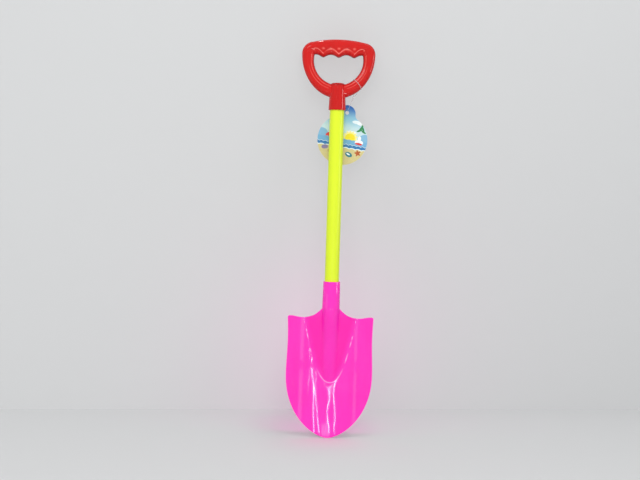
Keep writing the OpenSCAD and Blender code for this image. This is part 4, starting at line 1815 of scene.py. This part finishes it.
@dataclass(frozen=True)
class SeasidePrint:
    """The tag's printed side: a plain seaside scene of sky, sea, sun and sand."""

    name: str = "seaside_print"
    deep_sky: Colour = (0.018, 0.14, 0.46)
    light_sky: Colour = (0.27, 0.55, 0.72)
    haze: Colour = (0.56, 0.73, 0.78)
    cloud: Colour = (0.88, 0.92, 0.93)
    sea: Colour = (0.03, 0.19, 0.45)
    light_sea: Colour = (0.17, 0.42, 0.66)
    foam: Colour = (0.8, 0.9, 0.93)
    rays: Colour = (0.93, 0.84, 0.3)
    sun: Colour = (0.9, 0.74, 0.02)
    sand: Colour = (0.66, 0.58, 0.28)
    wet_sand: Colour = (0.48, 0.35, 0.14)
    leaf: Colour = (0.03, 0.24, 0.08)
    starfish: Colour = (0.45, 0.1, 0.02)
    shell: Colour = (0.02, 0.2, 0.26)
    pebble: Colour = (0.24, 0.2, 0.36)
    parasol: Colour = (0.72, 0.05, 0.04)
    roughness: float = 0.32
    screen_scale: float = 9.0
    screen_rough: float = 0.12
    screen_depth: float = 0.01 * MM
    screen_strength: float = 0.4

    def build(self, effects: Effects) -> bpy.types.Material:
        """Lays the motifs over each other, from the sky forward, on the UV map named card.

        Args:
            effects: The shared effects.

        Returns:
            The material, whose gloss and bump vary with the printing screen's noise.
        """
        material, g = new_material(self.name)
        uv = g.add("ShaderNodeUVMap", uv_map="card").outputs[0]
        from_hole = g.vector("SUBTRACT", uv, (*CARD_HOLE, 0.0))
        at = g.vector("MULTIPLY", from_hole, (CARD_SQUARE, CARD_SQUARE, 0.0))
        sheet = PrintSheet(g, effects, at, self.sky(g, at))
        for motif in (self.clouds_on, self.sun_on, self.far_sea_on, self.boat_on, self.surf_on,
                      self.beach_on, self.parasol_on, self.tree_on, self.shells_on):
            motif(sheet)
        screen = g.noise(at, self.screen_scale, 2, 0.6)
        inputs = {"Base Color": sheet.colour}
        inputs["Roughness"] = g.math("MULTIPLY_ADD", screen, self.screen_rough, self.roughness)
        inputs["Normal"] = g.bump(screen, self.screen_depth, self.screen_strength)
        finish_surface(g, g.add("ShaderNodeBsdfPrincipled", inputs))
        return material

    def sky(self, g: Graph, at: Socket) -> Socket:
        """The sky: deep blue above, lighter below and hazy over the sea.

        Args:
            g: The material's graph.
            at: Place on the print.

        Returns:
            The colour all over the print.
        """
        up = g.add("ShaderNodeSeparateXYZ", {0: at}).outputs[1]
        blue = g.blend(g.ramp(up, -12.0, 12.0), full(self.light_sky), full(self.deep_sky))
        return g.blend(g.ramp(up, -10.0, -30.0), blue, full(self.haze))

    def clouds_on(self, sheet: PrintSheet) -> None:
        """Prints clouds of five ovals.

        Args:
            sheet: The sheet printed on.
        """
        for oval in ((-14.0, -26.0, 11.0, 4.2), (-21.0, -24.0, 7.0, 5.0), (20.0, -14.0, 8.0, 3.0),
                     (27.0, -16.0, 6.0, 2.6), (14.0, -33.0, 9.0, 2.6)):
            sheet.lay_thin(sheet.oval(*oval), self.cloud, 0.8)

    def sun_on(self, sheet: PrintSheet) -> None:
        """Prints the sun's rays and its disc."""
        sheet.lay(sheet.star(13.0, -44.0, 12.5, Points=14.0, Depth=0.12, Turn=0.1), self.rays)
        sheet.lay(sheet.oval(13.0, -44.0, 8.8, 8.8), self.sun)

    def far_sea_on(self, sheet: PrintSheet) -> None:
        """Prints a pale headland at each side and the far sea between them.

        Args:
            sheet: The sheet printed on.
        """
        for x in (40.0, -39.0):
            sheet.lay_thin(sheet.oval(x, -46.0, 13.0, 13.0), self.light_sea, 0.85)
        sheet.lay(sheet.waves(-47.5, 1.0, 9.0, 0.4), self.light_sea)

    def boat_on(self, sheet: PrintSheet) -> None:
        """Prints a small boat: a three-cornered sail and a hull."""
        sheet.lay(sheet.star(30.0, -46.0, 5.6, Points=3.0, Depth=0.5, Turn=0.5), self.cloud)
        sheet.lay(sheet.oval(30.0, -51.5, 6.5, 2.0, 0.05), self.parasol)

    def surf_on(self, sheet: PrintSheet) -> None:
        """Prints the near sea under a line of foam, and a line of foam along the beach.

        Args:
            sheet: The sheet printed on.
        """
        sheet.lay(sheet.waves(-56.5, 1.8, 7.5, 1.3), self.foam)
        sheet.lay(sheet.waves(-57.2, 1.8, 7.5, 1.3), self.sea)
        sheet.lay(sheet.waves(-62.0, 1.5, 11.0, 2.2), self.foam)

    def beach_on(self, sheet: PrintSheet) -> None:
        """Prints the beach, sand with wet patches.

        Args:
            sheet: The sheet printed on.
        """
        wet = sheet.g.ramp(sheet.g.noise(sheet.at, 1.7, 2), 0.52, 0.7)
        beach = sheet.g.blend(wet, full(self.sand), full(self.wet_sand))
        sheet.lay(sheet.waves(-63.6, 1.5, 11.0, 2.2), beach)

    def parasol_on(self, sheet: PrintSheet) -> None:
        """Prints a striped parasol: an oval less the ovals that cut its scalloped foot.

        Args:
            sheet: The sheet printed on.
        """
        shade = sheet.oval(-22.0, -45.0, 9.0, 6.5)
        for x in (-28.0, -22.0, -16.0):
            shade = sheet.g.math("SUBTRACT", shade, sheet.oval(x, -50.2, 4.0, 4.4), clamp=True)
        sheet.lay(shade, self.parasol)
        stripe = sheet.g.math("MULTIPLY", shade, sheet.oval(-22.0, -44.0, 3.0, 8.0))
        sheet.lay(stripe, self.foam)
        sheet.lay(sheet.oval(-21.4, -56.0, 0.7, 10.0, -0.06), self.wet_sand)

    def tree_on(self, sheet: PrintSheet) -> None:
        """Prints a tree's crown of five leaves.

        Args:
            sheet: The sheet printed on.
        """
        for x, y, turn in ((29.0, -24.0, 0.5), (33.5, -24.5, -0.5), (27.0, -28.0, 1.1),
                           (35.0, -29.0, -1.1), (31.2, -20.5, 0.0)):
            sheet.lay(sheet.oval(x, y, 1.7, 5.0, turn), self.leaf)

    def shells_on(self, sheet: PrintSheet) -> None:
        """Prints a starfish, a shell with a pale streak, and two pebbles.

        Args:
            sheet: The sheet printed on.
        """
        sheet.lay(sheet.star(31.0, -68.0, 4.4, Points=5.0, Depth=0.32, Turn=0.6), self.starfish)
        sheet.lay(sheet.oval(15.5, -73.0, 6.6, 4.2, 0.3), self.shell)
        sheet.lay(sheet.oval(14.6, -72.3, 3.6, 1.3, 0.3), self.foam)
        sheet.lay(sheet.oval(-29.0, -66.0, 6.0, 3.8, -0.2), self.pebble)
        sheet.lay(sheet.oval(-20.0, -72.0, 3.4, 2.3, 0.4), self.wet_sand)


@dataclass(frozen=True)
class PhotoCamera:
    """The camera, at the photograph's viewing angle."""

    lens: float = 65.8
    place: Place = (-0.0232, -2.083, 0.4224)
    aim: Place = (-0.0232, 0.0, 0.3544)
    roll: float = 1.76

    def build(self) -> None:
        """Makes the scene's camera, aimed and then rolled about its view."""
        camera = bpy.data.objects.new("camera", bpy.data.cameras.new("camera"))
        bpy.context.scene.collection.objects.link(camera)
        bpy.context.scene.camera = camera
        camera.data.lens = self.lens
        view = (Vector(self.aim) - Vector(self.place)).to_track_quat("-Z", "Y").to_matrix().to_4x4()
        camera.matrix_world = (
            Matrix.Translation(self.place) @ view @ Matrix.Rotation(math.radians(self.roll), 4, "Z")
        )


class Role(Enum):
    """What a lamp is for."""

    LIGHT = "lights surfaces and shines in gloss"
    WASH = "lights surfaces alone"
    GLINT = "shines in gloss alone"


@dataclass(frozen=True)
class Softbox:
    """A rectangular lamp that faces a point."""

    name: str
    place: Place
    target: Place
    size: tuple[float, float]
    radiance: float
    role: Role = Role.LIGHT
    along: Place = (0.0, 0.0, 1.0)
    tint: Colour = (1.0, 1.0, 1.0)

    def build(self) -> None:
        """Makes the lamp; its power is its radiance times pi times its area."""
        data = bpy.data.lights.new(self.name, "AREA")
        data.shape = "RECTANGLE"
        data.size, data.size_y = self.size
        data.energy = self.radiance * math.pi * self.size[0] * self.size[1]
        data.color = self.tint
        lamp = bpy.data.objects.new(self.name, data)
        bpy.context.scene.collection.objects.link(lamp)
        back = (Vector(self.place) - Vector(self.target)).normalized()
        side = Vector(self.along).cross(back).normalized()
        turn = Matrix((side, back.cross(side), back)).transposed().to_4x4()
        lamp.matrix_world = Matrix.Translation(self.place) @ turn
        lamp.visible_camera = False
        lamp.visible_glossy = self.role is not Role.WASH
        if self.role is Role.GLINT:
            lamp.visible_diffuse = lamp.visible_transmission = lamp.visible_volume_scatter = False


@dataclass(frozen=True)
class Glint:
    """Thin lamps whose mirror image on the blade follows a line, given as (x, z) in mm."""

    line: tuple[tuple[float, float], ...]
    width: float = 0.009
    radiance: float = 26.0
    reach: float = 1.0
    overlap: float = 1.04

    def mirrored(self, x: float, z: float, blade: Blade, eye: Vector) -> Vector:
        """Direction that the blade's front mirrors to the viewer, by 2 (n.v) n - v.

        Args:
            x: Place across the blade.
            z: Height on the blade.
            blade: The blade.
            eye: Where the viewer stands.

        Returns:
            A point at the lamp's reach in that direction.
        """
        along_x, along_z = blade.slopes(x, z)
        normal = Vector((along_x, -1, along_z)).normalized()
        spot = Vector((x, float(blade.front(x, z)), z))
        to_eye = (eye - spot).normalized()
        return spot + (2 * normal.dot(to_eye) * normal - to_eye) * self.reach

    def build(self, number: int, blade: Blade, eye: Vector) -> None:
        """Places a lamp for each stretch of the line.

        Args:
            number: The line's number, for the lamps' names.
            blade: The blade that mirrors them.
            eye: Where the viewer stands.
        """
        ends = [self.mirrored(x * MM, z * MM, blade, eye) for x, z in self.line]
        for part, (a, b) in enumerate(zip(ends, ends[1:]), 1):
            span = b - a
            x, z = np.mean(self.line[part - 1 : part + 1], 0) * MM
            name, size = f"glint_{number}_{part}", (self.width, span.length * self.overlap)
            Softbox(name, tuple((a + b) / 2), (x, 0.0, z), size, self.radiance, Role.GLINT,
                    tuple(span.normalized())).build()


@dataclass(frozen=True)
class Stage:
    """Floor, backdrop, surrounding light and lamps.

    The shovel stands upright and the wall leans forward over it, so that its shadow falls close
    by, as when a shovel leans against a wall.
    """

    wall_y: float = 0.287
    wall_lean: float = 0.32
    half_width: float = 3.0
    height: float = 1.6
    front: float = -3.0
    wall_turn: float = 0.17
    straight_at: float = 0.7
    cols: int = 49
    rows: int = 25
    grey: Colour = (0.66, 0.67, 0.675)
    mottle: Colour = (0.58, 0.6, 0.61)
    mottle_scale: float = 3.0
    mottle_share: float = 0.06
    roughness: float = 0.8
    shown: Colour = (0.69, 0.695, 0.7)
    lifted: float = 0.5
    foot: Place = (-0.03, 0.1, 0.0)
    foot_stretch: Stretch = (1.0, 0.5, 1.0)
    foot_range: Range = (0.05, 0.15)
    foot_share: float = 0.25
    front_range: Range = (0.4, 1.0)
    ambient: float = 0.62

    def wall_at(self, x: Array, z: Array) -> Array:
        """The wall's y: it leans forward, and turns with x, most at the floor, none at the grip."""
        return self.wall_y - self.wall_lean * z + self.wall_turn * x * (1 - z / self.straight_at)

    def surface(self, name: str, points: Array, material: bpy.types.Material) -> None:
        """Adds a smooth surface to the stage.

        Args:
            name: The surface's name.
            points: x, y, z in rows and columns. The face looks along the cross product of the
                direction of its rows' points and the direction from row to row.
            material: Its paint.
        """
        mesh = bpy.data.meshes.new(name)
        mesh.from_pydata(points.reshape(-1, 3).tolist(), [], quads(*points.shape[:2]).tolist())
        mesh.materials.append(material)
        shade_smooth(mesh)
        loose_object(name, mesh)

    def backdrop(self) -> bpy.types.Material:
        """Matt pale paint that can't be seen from behind.

        It is evened out for the camera, less round the shovel's foot and fully in the foreground.

        Returns:
            The material of wall and floor.
        """
        material, g = new_material("backdrop")
        at = g.add("ShaderNodeTexCoord").outputs["Object"]
        mottle = g.math("MULTIPLY", g.noise(at, self.mottle_scale, 3), self.mottle_share)
        inputs = {"Roughness": self.roughness, "Specular IOR Level": 0.0}
        inputs["Base Color"] = g.blend(mottle, full(self.grey), full(self.mottle))
        paint = g.add("ShaderNodeBsdfPrincipled", inputs)
        pale = g.add("ShaderNodeEmission", {"Color": full(self.shown), "Strength": 1.0})
        from_foot = g.vector("MULTIPLY", g.vector("SUBTRACT", at, self.foot), self.foot_stretch)
        clear_of_foot = g.ramp(g.vector("LENGTH", from_foot), *self.foot_range)
        share = g.math("MULTIPLY_ADD", clear_of_foot, 1 - self.foot_share, self.foot_share)
        share = g.math("MULTIPLY", share, self.lifted)
        depth = g.math("MULTIPLY", g.add("ShaderNodeSeparateXYZ", {0: at}).outputs["Y"], -1.0)
        share = g.math("MAXIMUM", share, g.ramp(depth, *self.front_range))
        seen = g.math("MULTIPLY", g.add("ShaderNodeLightPath").outputs["Is Camera Ray"], share)
        even = g.add("ShaderNodeMixShader", {0: seen, 1: paint.outputs[0], 2: pale.outputs[0]})
        behind = g.add("ShaderNodeNewGeometry").outputs["Backfacing"]
        clear = g.add("ShaderNodeBsdfTransparent")
        mixed = g.add("ShaderNodeMixShader", {0: behind, 1: even.outputs[0], 2: clear.outputs[0]})
        finish_surface(g, mixed)
        return material

    def world(self) -> None:
        """Even light all round, which camera and mirror rays see as the pale backdrop."""
        world = bpy.data.worlds.new("surroundings")
        bpy.context.scene.world = world
        world.use_nodes = True
        g = Graph(world.node_tree)
        path = g.add("ShaderNodeLightPath").outputs
        seen = g.math("MAXIMUM", path["Is Camera Ray"], path["Is Transmission Ray"])
        seen = g.math("MAXIMUM", seen, path["Is Glossy Ray"])
        white = full((1.0, 1.0, 1.0))
        light = g.add("ShaderNodeBackground", {"Color": white, "Strength": self.ambient})
        pale = g.add("ShaderNodeBackground", {"Color": full(self.shown), "Strength": 1.0})
        mixed = g.add("ShaderNodeMixShader", {0: seen, 1: light.outputs[0], 2: pale.outputs[0]})
        g.tree.links.new(mixed.outputs[0], g.add("ShaderNodeOutputWorld").inputs["Surface"])

    def lamps(self) -> list[Softbox]:
        """The studio's lamps.

        Returns:
            Four large soft ones in front, of which three light surfaces alone. Three that show
            in gloss alone: at the sides and over the crown. Two pink ones, which stand in for the
            light that the blade throws on the wall and the floor.
        """
        return [
            Softbox("key", (-1.3, -1.9, 1.9), (0, 0, 0.35), (1.0, 1.0), 3.0),
            Softbox("front", (-0.1, -2.5, 0.9), (0, 0, 0.35), (1.2, 1.2), 4.0, Role.WASH),
            Softbox("fill", (1.6, -1.8, 1.2), (0, 0, 0.35), (1.0, 1.4), 1.2, Role.WASH),
            Softbox("low_wash", (0.2, -1.0, 1.5), (0, -0.1, 0), (1.2, 0.6), 1.6, Role.WASH),
            Softbox("side", (1.28, -0.3, 0.6), (0, 0, 0.6), (0.28, 0.5), 5.0, Role.GLINT),
            Softbox("side_left", (-1.1, -0.62, 0.1), (0, 0, 0.25), (0.5, 0.5), 0.8, Role.GLINT),
            Softbox("crown", (-0.0352, -0.0002, 0.7344), (-0.0314, -0.0062, 0.7058),
                    (0.011, 0.008), 14.0, Role.GLINT, (1, 0, 0)),
            Softbox("glow", (0, 0.04, 0.12), (0, 1, 0.12), (0.13, 0.17), 2.2, Role.WASH,
                    tint=(1.0, 0.03, 0.6)),
            Softbox("foot_glow", (0, -0.03, 0.06), (0, -0.03, 0), (0.12, 0.05), 0.4, Role.WASH,
                    (0, 1, 0), (1.0, 0.0, 0.25)),
        ]

    def build(self, blade: Blade, camera: PhotoCamera) -> None:
        """Makes everything that isn't the object.

        Args:
            blade: The blade, which mirrors the thin lamps.
            camera: The camera, for which they are placed.
        """
        paint = self.backdrop()
        x = np.linspace(-self.half_width, self.half_width, self.cols)[None, :]
        z = np.linspace(0, self.height, self.rows)[:, None]
        self.surface("wall", np.stack(np.broadcast_arrays(x, self.wall_at(x, z), z), -1), paint)
        share = np.linspace(0, 1, self.rows)[:, None]
        y = mix(self.front, self.wall_at(x, 0.0), share)
        self.surface("floor", np.stack(np.broadcast_arrays(x, y, 0.0), -1), paint)
        self.world()
        for lamp in self.lamps():
            lamp.build()
        for number, glint in enumerate(self.glints(), 1):
            glint.build(number, blade, Vector(camera.place))

    def glints(self) -> list[Glint]:
        """Lines of light on the blade.

        Returns:
            A pair of lines left of the middle, a pair under the bulge, their knots, and faint
            wide bands.
        """
        return [
            Glint(((-23.5, 10), (-25.6, 40), (-26.5, 60), (-25.8, 78), (-26.4, 92), (-29, 112),
                   (-33, 129))),
            Glint(((-34.8, 143), (-38.5, 172)), 0.007, 14.0),
            Glint(((-13.5, 8), (-17.5, 30), (-19.5, 50), (-22, 70), (-24, 86)), 0.008, 22.0),
            Glint(((-24, 86), (-23.7, 97), (-21.8, 108), (-24, 116)), 0.008, 11.0),
            Glint(((4, 10), (2, 24), (-0.6, 36), (-1.2, 47), (0.4, 58), (2.2, 67), (2.7, 75),
                   (1.8, 83))),
            Glint(((1.8, 83), (0.6, 86), (-0.6, 89)), 0.01, 20.0),
            Glint(((-0.6, 89), (-1.6, 93), (-2.8, 97.5)), 0.07, 26.0),
            Glint(((-25.6, 75), (-25.8, 83), (-26.0, 92)), 0.02, 22.0),
            Glint(((-3, 3), (-3, 24)), 0.15, 3.0),
            Glint(((12.8, 10), (12.2, 18), (13.4, 34), (12.8, 50), (11, 65), (9, 80), (10.2, 88),
                   (11.6, 97), (14.7, 107))),
            Glint(((5, 76), (5, 97)), 0.075, 3.0),
            Glint(((-50, 15), (-50, 118)), 0.06, 1.2),
            Glint(((47, 20), (47, 118)), 0.05, 1.0),
        ]


def main() -> None:
    """Builds every piece in order, then the stage and the camera."""
    logging.basicConfig(level=logging.INFO, format="%(name)s: %(message)s")
    bpy.context.scene.view_settings.view_transform = "Standard"
    effects, line = Effects(), ShaftLine()
    # Magenta: the edge colour is the lighter rim and the painted highlight on the crease, and the deep
    # colour also the painted shade on the flanks.
    magenta = MouldedPlastic(
        "magenta_plastic", (1.0, 0.028, 0.53), (1.0, 0.011, 0.44), (1.0, 0.45, 0.88),
        roughness=0.035, skin_depth=0.006 * MM, sway=0.03 * MM, highlight_and_rim=0.9)
    # Red: the edge colour is the painted highlight round the opening and over the ridges, and the
    # darkest red the painted shade in the opening.
    red = MouldedPlastic(
        "red_plastic", (0.6, 0.007, 0.005), (0.48, 0.004, 0.003), (1.0, 0.24, 0.2),
        roughness=0.07, highlight_and_rim=1.0, specular=0.35, sway=0.015 * MM, painted_shade=(0.34, 0.003, 0.003))
    yellow = ExtrudedPlastic("yellow_plastic", (0.73, 0.89, 0.018), (0.68, 0.84, 0.015))
    blade, grip, tag = Blade(line), Handle(line), HangTag(line)
    pieces = [
        blade.build(magenta.build(effects)),
        Tube(line).build(yellow.build(effects)),
        grip.build(red.build(effects)),
        tag.build(
            SeasidePrint().build(effects),
            CardStock("card_back", (0.78, 0.78, 0.76), (0.62, 0.6, 0.56)).build(),
            CardStock("card_core", (0.8, 0.79, 0.75), (0.6, 0.57, 0.5)).build(),
        ),
        TagLoop(line, grip, tag).build(ClearNylon().build(effects)),
    ]
    for piece in pieces:
        log.info("%s has %d faces", piece.name, len(piece.data.polygons))
    camera = PhotoCamera()
    camera.build()
    Stage().build(blade, camera)


if __name__ == "__main__":
    main()
